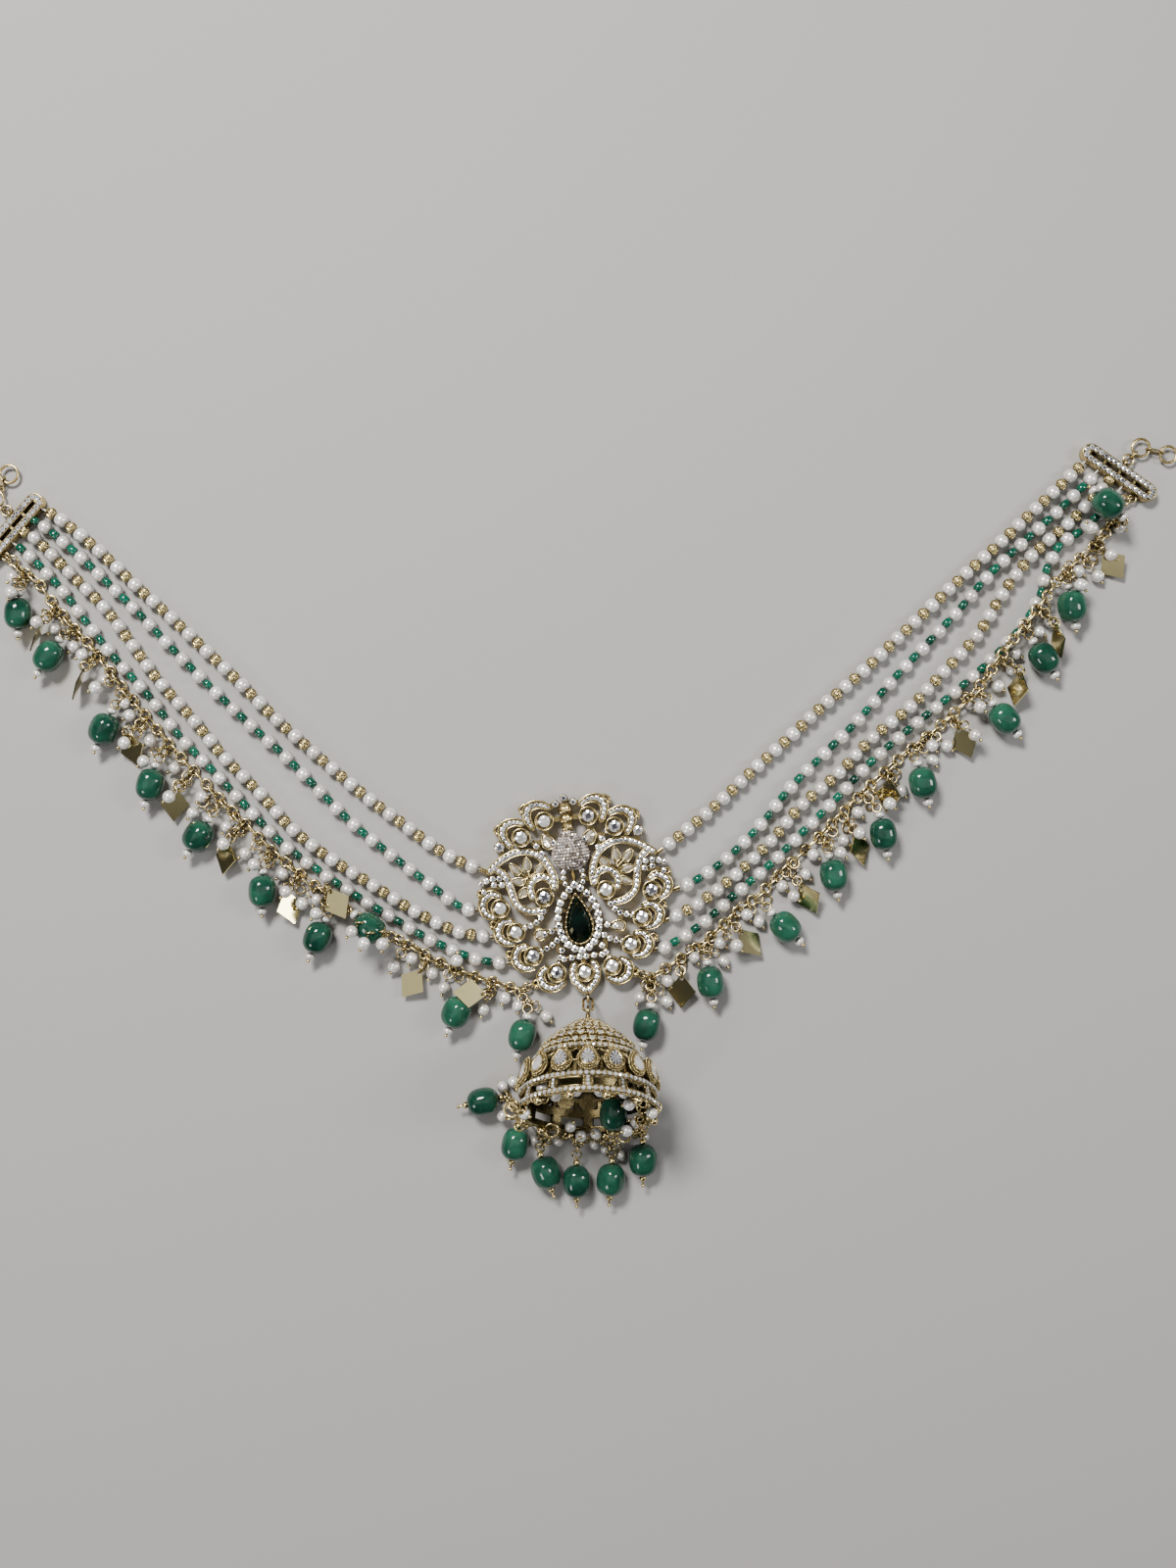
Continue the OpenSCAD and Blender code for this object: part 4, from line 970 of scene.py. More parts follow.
# Lozenges: x, y, height, the way that the plate hangs, roll and tilt
LEFT_LOZENGES = [
    (-154.5, 52, 4, -115, 78, 0), (-143, 38.5, 4, -110, 80, 0), (-128.5, 20, 2.4, -70, 22, 6),
    (-116.5, 4.5, 2.4, -95, -20, 6), (-102, -10.5, 2.8, -100, 34, 4), (-84, -24.5, 2.8, -75, -34, 4),
    (-70.2, -23.2, 5.4, -60, 8, -4), (-49.5, -46, 2.4, -125, 14, 6), (-33, -48.3, 6.2, 173, 8, -20),
]
RIGHT_LOZENGES = [
    (148, 72, 2.2, -50, 14, 5), (132, 50.4, 4, -80, 80, 0), (120.8, 36.9, 3.6, -100, 60, 4),
    (106, 22, 2.6, -65, 26, 4), (84.5, 7, 3, -95, 44, 4), (76.5, -8, 2.8, -75, -38, 4),
    (62, -22, 2.8, -60, 36, 4), (45.5, -34.5, 2.8, -50, -30, 4), (26.4, -48.2, 2.4, -90, 14, 6),
]
# Small pearls and clusters of rings on the fringe, in pixels of the photograph
LEFT_PEARLS = [
    (13, 589), (13, 605), (38, 635), (56, 642), (75, 660), (82, 668), (107, 695), (98, 702), (123, 717),
    (132, 730), (127, 758), (153, 756), (148, 777), (178, 784), (172, 813), (206, 813), (197, 830),
    (231, 844), (228, 861), (250, 871), (260, 882), (288, 892), (291, 910), (308, 922), (323, 918),
    (323, 932), (360, 950), (372, 962), (390, 963), (402, 986), (420, 978), (441, 993), (453, 1008),
    (466, 980), (493, 1030), (515, 1018), (529, 1026), (557, 1037),
]
RIGHT_PEARLS = [
    (1142, 538), (1114, 539), (1134, 566), (1120, 588), (1100, 583), (1100, 598), (1077, 632),
    (1060, 645), (1036, 667), (1033, 683), (1018, 700), (990, 718), (1001, 721), (995, 750), (951, 761),
    (966, 761), (951, 776), (920, 807), (908, 820), (875, 829), (877, 850), (863, 858), (857, 870),
    (830, 872), (822, 892), (798, 904), (810, 914), (775, 940), (762, 933), (735, 962), (752, 965),
    (709, 977), (738, 981), (681, 1001), (653, 1018), (680, 1022),
]
LEFT_CLUSTERS = [
    (24, 592), (55, 627), (75, 648), (97, 677), (122, 705), (145, 738), (168, 767), (192, 795), (215, 823),
    (245, 850), (275, 880), (305, 905), (335, 925), (405, 957), (433, 977), (470, 997), (504, 1010),
    (540, 1023),
]
RIGHT_CLUSTERS = [
    (1135, 533), (1116, 572), (1092, 592), (1065, 620), (1043, 645), (1025, 678), (1000, 708), (967, 735),
    (935, 763), (912, 790), (888, 820), (865, 845), (843, 857), (808, 890), (780, 915), (750, 940),
    (725, 965), (697, 983), (664, 1008),
]
BEAD_HALF = 4.5
BEAD_R = 3.9
BEAD_ROWS = 22
BEAD_SIDES = 40
PIN_HEAD_GAP = 2.6
LOZENGE_HOLE = 3.6
HOOK_HEIGHT = 2.9
HOOK_TIP = 0.6
HOOK_WIRE = 0.3
PLATE_EYES = {"left": (-17.3, -47.1, 1.95), "right": (15.3, -43.6, 1.95)}


def shifted(p):
    """A table's place in the model, low on the table where it has no height."""
    return Vector((p[0] + MIDDLE_SHIFT.x, p[1] + MIDDLE_SHIFT.y, p[2] if len(p) > 2 else CHAIN_LOW))


def nearest(path, p):
    return min(path, key=lambda q: (q.xy - p.xy).length)


def bead_axis(bead):
    """Middle of a bead, and the way that its pin points."""
    a = math.radians(bead[3])
    return shifted(bead), Vector((math.cos(a), math.sin(a), 0))


def barrel(u):
    """Radius of a bead at a share u of its half length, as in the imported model."""
    return BEAD_R * (1 - abs(u) ** 2.6) ** (1 / 2.4)


def tumbled_bead(bead, dice):
    """A polished bead, a little square across and a little uneven, where its packed one lies."""
    turn, square, lean = dice.uniform(0, TURN), dice.uniform(2.15, 2.5), dice.uniform(-0.03, 0.03)
    verts = []
    for i in range(BEAD_ROWS + 1):
        u = -0.998 * math.cos(math.pi * i / BEAD_ROWS)
        for k in range(BEAD_SIDES):
            a = TURN * k / BEAD_SIDES
            across = (abs(math.cos(a)) ** square + abs(math.sin(a)) ** square) ** (-1 / square)
            r = barrel(u) * 0.97 * across * (1 + lean * u)
            verts.append((BEAD_HALF * u, r * math.cos(a + turn), r * math.sin(a + turn)))
    faces = [tuple(reversed(face)) for face in skin_faces(BEAD_ROWS + 1, BEAD_SIDES)]
    mesh = solid("jade_bead", verts, faces)
    tones = [dice.random()] * len(verts)
    mesh.attributes.new("tone", "FLOAT", "POINT").data.foreach_set("value", tones)
    middle, axis = bead_axis(bead)
    mesh.transform(Matrix.Translation(middle) @ Matrix.Rotation(math.atan2(axis.y, axis.x), 4, "Z"))
    return on_table(mesh)


def jade_beads(name, beads, node):
    dice = random.Random(len(name))
    piece = loose_object(name, [tumbled_bead(bead, dice) for bead in beads], JADE)
    finished(piece, "green_bead", *[f"{node}_{i + 1}" for i in range(len(beads))])


def lozenge_ring(plate):
    """Middle and axis of the ring through a lozenge's hole."""
    plan, roll, tilt = (math.radians(a) for a in plate[3:])
    turn = Matrix.Rotation(plan, 3, "Z") @ Matrix.Rotation(tilt, 3, "Y") @ Matrix.Rotation(roll, 3, "X")
    return shifted(plate) + turn @ Vector((-LOZENGE_HOLE - JUMP_R, 0, 0)), turn @ Vector((0, 1, 0))


def chain_hook(start, eye):
    """Path of the hook from a chain's end over and down through an eye."""
    return [start, Vector((start.x, start.y, HOOK_HEIGHT)), Vector((eye.x, eye.y, HOOK_HEIGHT)),
            Vector((eye.x, eye.y, HOOK_TIP))]


def standing_link():
    mesh = ring_mesh("standing_link", LONG_LINK_R, LONG_LINK_WIRE, LONG_LINK_STRETCH)
    mesh.transform(Matrix.Translation((0, 0, 0.25)) @ Matrix.Rotation(math.pi / 2, 4, "X"))
    return mesh


def fringe(side, route, beads, lozenges, pearls, clusters, bar, below):
    """A chain with all that hangs on it, in two pieces: metal and small pearls."""
    dice = random.Random(len(side))
    loose = Loose(below)
    path = smooth([shifted(p) for p in route], 6)
    for bead in beads:
        middle, axis = bead_axis(bead)
        loose.pin(middle - axis * (BEAD_HALF + PIN_HEAD_GAP), middle + axis * (BEAD_HALF + PIN_HEAD_GAP))
        loose.end_pearls += [(middle + axis * s * (BEAD_HALF + END_PEARL_HALF), axis) for s in (-1, 1)]
        eye = middle - axis * (BEAD_HALF + PIN_HEAD_GAP + 0.9)
        loose.rings_between(eye + axis, nearest(path, eye))
    for plate in lozenges:
        middle, axis = lozenge_ring(plate)
        loose.ring(middle, axis)
        loose.rings_between(middle, nearest(path, middle))
    for px, py in pearls:
        spot = loose.settled(px, py, FRINGE_PEARL_R)
        hold = nearest(path, spot)
        away = Vector((*(spot - hold).xy, 0)).normalized()
        loose.rings_between(loose.pearl_on_pin(spot, away, FRINGE_PEARL_R), hold, 2)
    for px, py in clusters:
        loose.cluster(photo_point(px, py, 0), 1, 0.8, dice)
    metal, small_pearls = loose.pieces("fringe_" + side)
    metal.append(made("links", chain_tree, paths_mesh([path]),
                      Flat_link=template(ring_mesh("flat_link", LINK_R, LINK_WIRE)),
                      Standing_link=template(standing_link()), Pitch=CHAIN_PITCH, Tilt=0.12, Lean=0.6,
                      Seed=3, Material=GOLD_BRIGHT))
    hooks = [chain_hook(path[0], bar @ Vector(CHAIN_EYE)), chain_hook(path[-1], shifted(PLATE_EYES[side]))]
    metal.append(wires("hooks", hooks, HOOK_WIRE))
    finished(joined(f"fringe_{side}_metal", metal), "antique_gold", "chain_" + side)
    small_pearls.name = f"fringe_{side}_pearls"
    finished(small_pearls, "pearl")


def all_beads():
    jade_beads("jade_beads_left", LEFT_BEADS, "bead_left")
    jade_beads("jade_beads_right", RIGHT_BEADS, "bead_right")
    jade_beads("jade_beads_bell", BELL_BEADS, "bell_bead")


def both_fringes(below):
    fringe("left", LEFT_CHAIN, LEFT_BEADS, LEFT_LOZENGES, LEFT_PEARLS, LEFT_CLUSTERS, LEFT_BAR, below)
    fringe("right", RIGHT_CHAIN, RIGHT_BEADS, RIGHT_LOZENGES, RIGHT_PEARLS, RIGHT_CLUSTERS, RIGHT_BAR,
           below)


# End bars: a row of stones round the slot, held by grains, between two wires

BAR_L = 24.4
BAR_W = 5.0
BAR_H = 3.0
SLOT_W = 1.1
BAR_ARC = 8
BAR_ROW_W = (BAR_W + SLOT_W) / 2
BAR_CUT = (0.74, 0.5)
BAR_STONE_PITCH = 1.6
BAR_GRAIN_OFF = 0.62
BAR_WIRE = 0.24
BAR_WIRE_IN = 0.3
CHAIN_EYE = (7.4, -BAR_W / 2 - 0.9, 1.65)
LEFT_BAR = (Matrix.Translation(Vector((-162.2, 82.2, 0)) + MIDDLE_SHIFT.to_3d())
            @ Matrix.Rotation(math.radians(-131), 4, "Z") @ Matrix.Diagonal((1, -1, 1, 1)))
RIGHT_BAR = (Matrix.Translation(Vector((149.6, 97.9, 0)) + MIDDLE_SHIFT.to_3d())
             @ Matrix.Rotation(math.radians(-35), 4, "Z"))


def bar_line(w, z):
    """A line round a bar, w wide across it and round at its ends."""
    out = []
    for end in (1, -1):
        for k in range(BAR_ARC + 1):
            a = math.pi * (k / BAR_ARC - 0.5)
            out.append((end * ((BAR_L - BAR_W) / 2 + w / 2 * math.cos(a)), end * w / 2 * math.sin(a), z))
    return out


def bar_gaps():
    """Places of the grains that hold the bar's stones, on both sides of their row."""
    out = []
    for side in (-1, 1):
        path = [Vector(p) for p in bar_line(BAR_ROW_W + 2 * side * BAR_GRAIN_OFF, BAR_H + 0.1)]
        path.append(path[0])
        sums = running_length(path)
        count = round(sums[-1] / BAR_STONE_PITCH)
        out += [at_distance(path, sums, (i + 0.5) * sums[-1] / count) for i in range(count)]
    return out


def dress_bar(side, matrix):
    """A bar's stones, and its wires and grains."""
    middle = [placed(matrix, bar_line(BAR_ROW_W, BAR_H + 0.02))]
    stones = row("stones", middle, brilliant("bar_stone", *BAR_CUT), BAR_STONE_PITCH, CLEAR, jitter=0.03,
                 spin=TURN, closed=True)
    edges = [placed(matrix, bar_line(w, BAR_H)) for w in (BAR_W - BAR_WIRE_IN, SLOT_W + BAR_WIRE_IN)]
    grains = placed(matrix, bar_gaps())
    gold = [wires("edges", edges, BAR_WIRE, closed=True), on_points("grains", grains, grain(), GOLD_BRIGHT)]
    finished(joined(f"end_bar_{side}_borders", gold), "antique_gold")
    stones.name = f"end_bar_{side}_stones"
    finished(stones, "clear_stone")


# Brooch: rims, rows of stones, claw-set stones, cups, leaves and the peacock

BROOCH = Matrix.Translation((-1.2, -20.2, 0)) @ Matrix.Rotation(math.radians(7), 4, "Z")
PLATE_TOP = 3.0
RELIEF_TOP = 3.5
BEZEL_TOP = 4.2
BAND_W = 1.9
CRESCENT_W = 2.6
CRESCENT_END_SHARE = 0.55
CRESCENT_STONE_R = 0.72
BAND_STONE_R = 0.66
GRAIN_SHARE = 0.78
TWIG_STONE_R = 0.8
TWIG_PITCH = 1.85
HALO_STONE_R = 0.98
CUP_RIM_R = 2.56
CUP_RIM_WIRE = 0.2
CUP_H = 0.8
# Cut stones: radius and height
LARGE_CUT = (1.65, 1.25)
PAISLEY_CUT = (0.64, 0.36)
CRESCENT_CUT = (0.7, 0.4)
# Wires and balls: radius
BAND_WIRE = 0.28
SCROLL_WIRE = 0.44
SCROLL_BALL = 0.78
STEM_WIRE = 0.36
LEAF_WIRE = 0.26
# The near black wire round the centre stone is painted shadow
PAINTED_SHADOW_WIRE = 0.46
PRONG_BALL = 0.36
PRONG_PITCH = 1.42
# Petals of the right half: x, y and turn
UPPER_PETALS = [(6.2, 21.6, 0), (13.2, 17.8, -12)]
LOWER_PETALS = [(21.4, -1.2, 20), (17.8, -8.4, 0), (13.8, -15.6, -14), (7.8, -21, -46)]
UPPER_CRESCENT = [(-1.8, 3.4), (0.2, 4.6), (2.6, 4.8), (4.4, 3.6), (4.7, 1.2), (3.4, -1.8)]
LOWER_CRESCENT = [(0.8, 3.1), (3.4, 3.2), (5.1, 0.6), (3.9, -2.2), (0.8, -3.2)]
UPPER_HOOK = [(3.2, 5.1), (5.2, 5.2), (6.5, 4.2), (6.1, 3.2)]
LOWER_HOOK = [(4.4, 2.6), (5.9, 3.6), (6.9, 3.2), (6.7, 2.2)]
PAISLEY = [
    [(5.6, 2.4), (5.5, 6), (7.6, 10.8), (11.5, 13.4), (15.8, 13.6), (20, 11.8), (23.4, 9.2)],
    [(21.8, 10.2), (19, 7.6), (17.9, 3.6), (17, -0.2), (14.6, -2.6), (11.6, -3.4), (9, -3.2)],
    [(5.8, 2.6), (6.6, 5), (8.9, 6.2), (11.2, 5.4), (12.4, 3.2), (11.8, 0.4)],
]
BOTTOM_VEE = [(-2.5, -19.4), (-3.5, -21.6), (-2.7, -24.6), (0, -27.4)]
PAISLEY_STONE = (8.7, 0.4)
BOTTOM_STONE = (0, -21.8)
FLOWER_ROOT = (12.4, 6.2)
# Leaves: x, y, turn, length and width
LEAVES = [
    (9, 8.4, 130, 4.2, 2.3), (12.6, 10, 95, 4.2, 2.3), (16, 9.2, 50, 4.2, 2.3), (15.6, 5.6, 10, 4.2, 2.3),
    (14.6, 2.2, -30, 4.2, 2.3), (10.8, -10, 170, 4.4, 3.1), (6, 15.8, 62, 4.8, 3.5),
]
HALO = [(1.6, 1.7), (3.2, 0.1), (4.5, -1.8), (5.3, -3.8), (5.7, -5.9), (5.7, -8), (5.3, -10), (4.6, -11.9),
        (3.5, -13.7), (2, -15)]
HALO_ENDS = [(0, 2.9), (0, -15.7)]
# Studs: x, y and the stone's radius
STUDS = [(2.5, 26, 0.85), (19.6, 15.8, 1.35), (25.9, 6.2, 0.75), (25.4, 3.8, 0.75), (2.5, 3.4, 0.65),
         (2.8, 5, 0.65), (2.6, 6.6, 0.65)]
CREST = (0, 27.4, 0.85)
BRANCHES = [
    [(9.5, -3.6), (10.8, -5.6), (12.6, -6.8), (15.4, -7.6)], [(5.6, -9.2), (8, -9.4), (10, -10)],
    [(5.2, -11), (7, -12.3), (8.8, -13.6), (11.6, -14.6)],
    [(4, -13.6), (6, -15.4), (6.6, -17.6), (7.2, -19)],
    [(0.9, -17.4), (2.9, -17.4), (5.4, -17.5)], [(18.8, 6.9), (22.4, 7.2), (24.4, 6.8)],
    [(17.9, 4.9), (20, 5.2), (22.4, 5.5)], [(8, 12.6), (9.8, 15.6), (11, 16.8)], [(2.8, 14.6), (4.4, 15.3)],
]
PEAR_AT = (0, -6.7)
PEAR_HALF_W = 3.4
PEAR_HALF_L = 6.7
PEAR_SWELL = 1.3
BODY_AT = 6.9
BODY_STONE_R = 0.44
BODY_STONE_PITCH = 0.9
# Neck and head: y, radius, stretch and height of each ribbed ball
NECK = [(19.3, 1.55, 1.3, 3.2), (21.4, 1.85, 1.0, 3.5), (24, 1.95, 1.0, 3.75)]
BODY_PROFILE = [(0.2, 0.05), (2.6, 0.5), (4.4, 1.9), (5.3, 3.9), (5, 6), (3.9, 8), (2.5, 9.8), (1.6, 11.6)]


def petal_paths(path, petals):
    """A petal's path at each of its places, in the right half."""
    out = []
    for x, y, turn in petals:
        spin = Matrix.Rotation(math.radians(turn), 2)
        out.append([Vector((x, y)) + spin @ Vector(p) for p in smooth(path, 6)])
    return out


def both_petals(upper, lower):
    """Paths of all petals, in both halves."""
    return both_sides(petal_paths(upper, UPPER_PETALS) + petal_paths(lower, LOWER_PETALS))


def on_plate(points, z):
    """The plate's points in the model, at a height."""
    return placed(BROOCH, raised(points, z))


def pear_path(grow, count=40):
    """Outline round the centre stone, which grow widens."""
    out = []
    for i in range(count):
        a = TURN * i / count
        out.append((PEAR_AT[0] + (PEAR_HALF_W + grow) * PEAR_SWELL * math.sin(a) * math.sin(a / 2),
                    PEAR_AT[1] + (PEAR_HALF_L + grow) * math.cos(a)))
    return out


def leaf_outline(l, w, count=16):
    out = []
    for i in range(count):
        a = TURN * i / count
        out.append(Vector((l / 2 * math.cos(a), w / 2 * math.sin(a) * (1 - 0.3 * math.cos(a)), 0)))
    return out


def leaf_stone(l, w):
    """A pointed stone with a ridge along it, with painted glints on its facets."""
    rim = leaf_outline(l, w)
    half = len(rim) // 2
    verts = [tuple(p) for p in rim] + [(0.42 * l * (1 - 2 * i / half), 0, 0.55 if 0 < i < half else 0.1)
                                       for i in range(half + 1)]
    faces = []
    for i in range(half):
        low, high = len(rim) + i, len(rim) + i + 1
        faces.append((i, i + 1, high, low))
        faces.append(((-i) % len(rim), low, high, (-i - 1) % len(rim)))
    return painted_glints(solid("leaf_stone", verts, faces, smooth=False),
                       [(1.0, 0.5, 0.8, 0.6)[i % 4] for i in range(len(faces))])


def brooch_stone_places():
    spots = [(x, y) for x, y, _ in UPPER_PETALS + LOWER_PETALS] + [PAISLEY_STONE]
    return spots + [(-x, y) for x, y in spots] + [BOTTOM_STONE]


def set_band(paths, r, end_share=1.0):
    """Places and sizes of the stones set close along bands, and places of the grains between them."""
    places, sizes, grains = [], [], []
    for path in paths:
        path = [Vector(p) for p in path]
        sums = running_length(path)
        s = 0.6 * r
        while s < sums[-1] - 0.4 * r:
            share = width_share(s / sums[-1], end_share)
            places.append(at_distance(path, sums, s))
            sizes.append(share)
            step = 2.06 * r * width_share(min(1, (s + r * share) / sums[-1]), end_share)
            half = min(s + step / 2, sums[-1] - 0.1)
            run = (at_distance(path, sums, half + 0.1) - at_distance(path, sums, half - 0.1)).normalized()
            across = GRAIN_SHARE * r * width_share(half / sums[-1], end_share) * Vector((-run.y, run.x))
            grains += [at_distance(path, sums, half) + side * across for side in (-1, 1)]
            s += step
    return on_plate(places, RELIEF_TOP), sizes, on_plate(grains, RELIEF_TOP + 0.12)


def bezel_cup():
    """Smooth gold cup round a large round stone, from the plate up."""
    profile = [(2.5, -1.2), (2.62, -0.4), (2.7, 0.5), (2.68, 0.8), (2.56, 0.88), (2.42, 0.8), (2.3, 0.42),
               (2.12, 0.1), (1.9, 0.03), (1.75, -0.1), (1.66, -0.7)]
    mesh = lathe("bezel_cup", profile, 40)
    work = bmesh.new()
    work.from_mesh(mesh)
    work.faces.ensure_lookup_table()
    bmesh.ops.delete(work, geom=[f for f in work.faces if len(f.verts) > 4], context="FACES")
    work.to_mesh(mesh)
    work.free()
    return mesh


def body_spots():
    """Places and aims of the stones, in rows round the peacock's body."""
    place = BROOCH @ Matrix.Translation((0, BODY_AT, PLATE_TOP - 0.6))
    place = place @ Matrix.Rotation(-math.pi / 2, 4, "X")
    path = smooth(BODY_PROFILE, 6)
    sums = running_length(path)
    spots, aims = [], []
    for number in range(round(sums[-1] / BODY_STONE_PITCH)):
        s = (number + 0.5) * BODY_STONE_PITCH
        r, h = at_distance(path, sums, s)
        after = at_distance(path, sums, min(s + 0.3, sums[-1]))
        run = (after - at_distance(path, sums, s - 0.3)).normalized()
        count = max(3, round(TURN * r / BODY_STONE_PITCH))
        for k in range(count):
            a = TURN * (k + 0.5 * (number % 2)) / count
            spot = place @ Vector((r * math.cos(a), r * math.sin(a), h))
            if spot.z > PLATE_TOP + 0.1:
                spots.append(spot)
                aims.append(place.to_3x3() @ Vector((run.y * math.cos(a), run.y * math.sin(a), -run.x)))
    return spots, aims


def peacock_pieces():
    """Ribbed neck and head, and the body's close-set stones."""
    gold = []
    for y, r, stretch, z in NECK:
        profile = [(r * math.sin(math.pi * i / 12), -r * stretch * math.cos(math.pi * i / 12))
                   for i in range(1, 12)]
        mesh = lathe(f"ribbed_{round(10 * y)}", profile, 48, rib=0.16, ribs=12)
        mesh.transform(Matrix.Rotation(-math.pi / 2, 4, "X"))
        mesh.transform(BROOCH @ Matrix.Translation((0, y, z)))
        mesh.materials.append(GOLD_BRIGHT)
        gold.append(shown("ribbed", mesh))
    spots, aims = body_spots()
    return gold, on_points("body_stones", spots, pave_stone(BODY_STONE_R), CHAMPAGNE, aims, jitter=0.06,
                           seed=4)


def leaf_pieces():
    """Rims and stones of the leaves, right and left."""
    rims = []
    stones = []
    for x, y, turn, l, w in LEAVES:
        for side in (1, -1):
            spin = Matrix.Rotation(math.radians(turn if side > 0 else 180 - turn), 4, "Z")
            place = BROOCH @ Matrix.Translation((side * x, y, PLATE_TOP + 0.15)) @ spin
            rims.append(placed(place, leaf_outline(l, w)))
            mesh = leaf_stone(0.78 * l, 0.72 * w)
            mesh.transform(place)
            stones.append(mesh)
    return rims, loose_object("leaf_stones", stones, WARM_CLEAR)


def band_rims(paths, w, end_share=1.0):
    """Wires along both edges of bands, as pairs."""
    out = []
    for path in paths:
        out += [on_plate(band_side(path, side * (w / 2 - 0.08), end_share), RELIEF_TOP + 0.05)
                for side in (1, -1)]
    return out


def pear_setting():
    """A near black wire round the centre stone, painted shadow in the gap there, with a ring of round prongs
    over it.
    """
    shadow_ring = [on_plate(pear_path(0.42), BEZEL_TOP - 0.12)]
    prongs = [on_plate(pear_path(0.36), BEZEL_TOP + 0.1)]
    return [wires("pear_groove", shadow_ring, PAINTED_SHADOW_WIRE, closed=True, material=GOLD_PAINTED_SHADOW),
            row("pear_prongs", prongs, ball("prong", PRONG_BALL), PRONG_PITCH, GOLD_BRIGHT, closed=True)]


def bezel_settings():
    """The cups of the fifteen large stones with their bright rims, and the stones."""
    spots = brooch_stone_places()
    rim = ring_mesh("cup_rim", CUP_RIM_R, CUP_RIM_WIRE, around=36)
    gold = [on_points("cups", on_plate(spots, BEZEL_TOP), bezel_cup(), GOLD),
            on_points("cup_rims", on_plate(spots, BEZEL_TOP + CUP_H), rim, GOLD_BRIGHT)]
    return gold, on_points("large_stones", on_plate(spots, BEZEL_TOP - CUP_H),
                           brilliant("large_stone", *LARGE_CUT), CLEAR, jitter=0.01)


def band_settings():
    """The rims and grains of the paisleys' and the petals' bands, and their rows of stones."""
    paisley = both_sides([smooth(path, 6) for path in PAISLEY + [BOTTOM_VEE]])
    crescents = both_petals(UPPER_CRESCENT, LOWER_CRESCENT)
    rims = band_rims(paisley, BAND_W) + band_rims(crescents, CRESCENT_W, CRESCENT_END_SHARE)
    spots, _, band_grains = set_band(paisley, BAND_STONE_R)
    places, sizes, grains = set_band(crescents, CRESCENT_STONE_R, CRESCENT_END_SHARE)
    gold = [wires("rims", rims, BAND_WIRE, material=GOLD_BRIGHT),
            on_points("band_grains", band_grains + grains, grain(), GOLD_BRIGHT)]
    stone = brilliant("paisley_stone", *PAISLEY_CUT)
    petal_stone = brilliant("crescent_stone", *CRESCENT_CUT)
    return gold, [on_points("paisley_stones", spots, stone, CLEAR, jitter=0.03),
                  on_points("crescent_stones", places, petal_stone, CLEAR, sizes=sizes, jitter=0.03)]


def twig_settings():
    """The stems, and the twigs' claw-set stones."""
    twigs = both_sides([smooth(path, 4) for path in BRANCHES])
    stems = twigs + both_sides([[FLOWER_ROOT, leaf[:2]] for leaf in LEAVES[:5]])
    stems = [on_plate(path, PLATE_TOP) for path in stems]
    twigs = [on_plate(path, PLATE_TOP + 0.35) for path in twigs]
    gold = [wires("stems", stems, STEM_WIRE, 6),
            row("branch_collets", twigs, collet(TWIG_STONE_R), TWIG_PITCH, GOLD)]
    stone = brilliant("branch_stone", TWIG_STONE_R, TWIG_STONE_R)
    return gold, row("branch_stones", twigs, stone, TWIG_PITCH, CLEAR, jitter=0.02)


def brooch_work():
    """The plate's fine work in three pieces: gold, stones and the peacock's stones."""
    hooks = [on_plate(path, PLATE_TOP + 0.15) for path in both_petals(UPPER_HOOK, LOWER_HOOK)]
    hook_ends = [path[-1] + Vector((0, 0, 0.2)) for path in hooks]
    leaf_rims, leaf_stones = leaf_pieces()
    ribbed, body_stones = peacock_pieces()
    band_gold, band_stones = band_settings()
    cups, large_stones = bezel_settings()
    twig_gold, twig_stones = twig_settings()
    halo = [(side * x, y) for x, y in HALO for side in (1, -1)] + HALO_ENDS
    claws, claw_stones = set_stones("halo", on_plate(halo, RELIEF_TOP), HALO_STONE_R)
    gold = [
        wires("hooks", hooks, SCROLL_WIRE),
        on_points("hook_balls", hook_ends, ball("hook_ball", SCROLL_BALL), GOLD_BRIGHT),
        wires("leaf_rims", leaf_rims, LEAF_WIRE, 6, closed=True, material=GOLD_BRIGHT),
        claws,
    ] + band_gold + cups + twig_gold + pear_setting() + ribbed
    stones = [claw_stones, leaf_stones, large_stones, twig_stones] + band_stones
    studs = [(side * x, y, r) for x, y, r in STUDS for side in (1, -1)] + [CREST]
    for r in sorted({stud[2] for stud in studs}):
        spots = on_plate([stud[:2] for stud in studs if stud[2] == r], PLATE_TOP + 0.5)
        claws, claw_stones = set_stones("studs", spots, r)
        gold.append(claws)
        stones.append(claw_stones)
    finished(joined("brooch_goldwork", gold), "antique_gold")
    finished(joined("brooch_small_stones", stones), "clear_stone", "brooch_stones")
    body_stones.name = "peacock_stones"
    finished(body_stones, "clear_stone")


# Bell, in its own frame: the rim at z = 0 and the top up

BELL_R = 18.5
BELL_H = 26.5
BELL_AT = Vector((0, -78.2)) + MIDDLE_SHIFT
BELL_LIFT = math.radians(30)
BELL_SHAPE = [(1, 0), (0.99, 0.09), (0.968, 0.19), (0.94, 0.31), (0.9, 0.4), (0.83, 0.475), (0.745, 0.565),
              (0.67, 0.665), (0.56, 0.747), (0.435, 0.823), (0.305, 0.892), (0.18, 0.955), (0.06, 1)]
BELL_PROFILE = [(BELL_R * r, BELL_H * h) for r, h in BELL_SHAPE]


def bell_radius(h):
    for (r1, h1), (r2, h2) in zip(BELL_PROFILE, BELL_PROFILE[1:]):
        if h <= h2:
            return r1 + (r2 - r1) * (h - h1) / (h2 - h1)
    return BELL_PROFILE[-1][0]


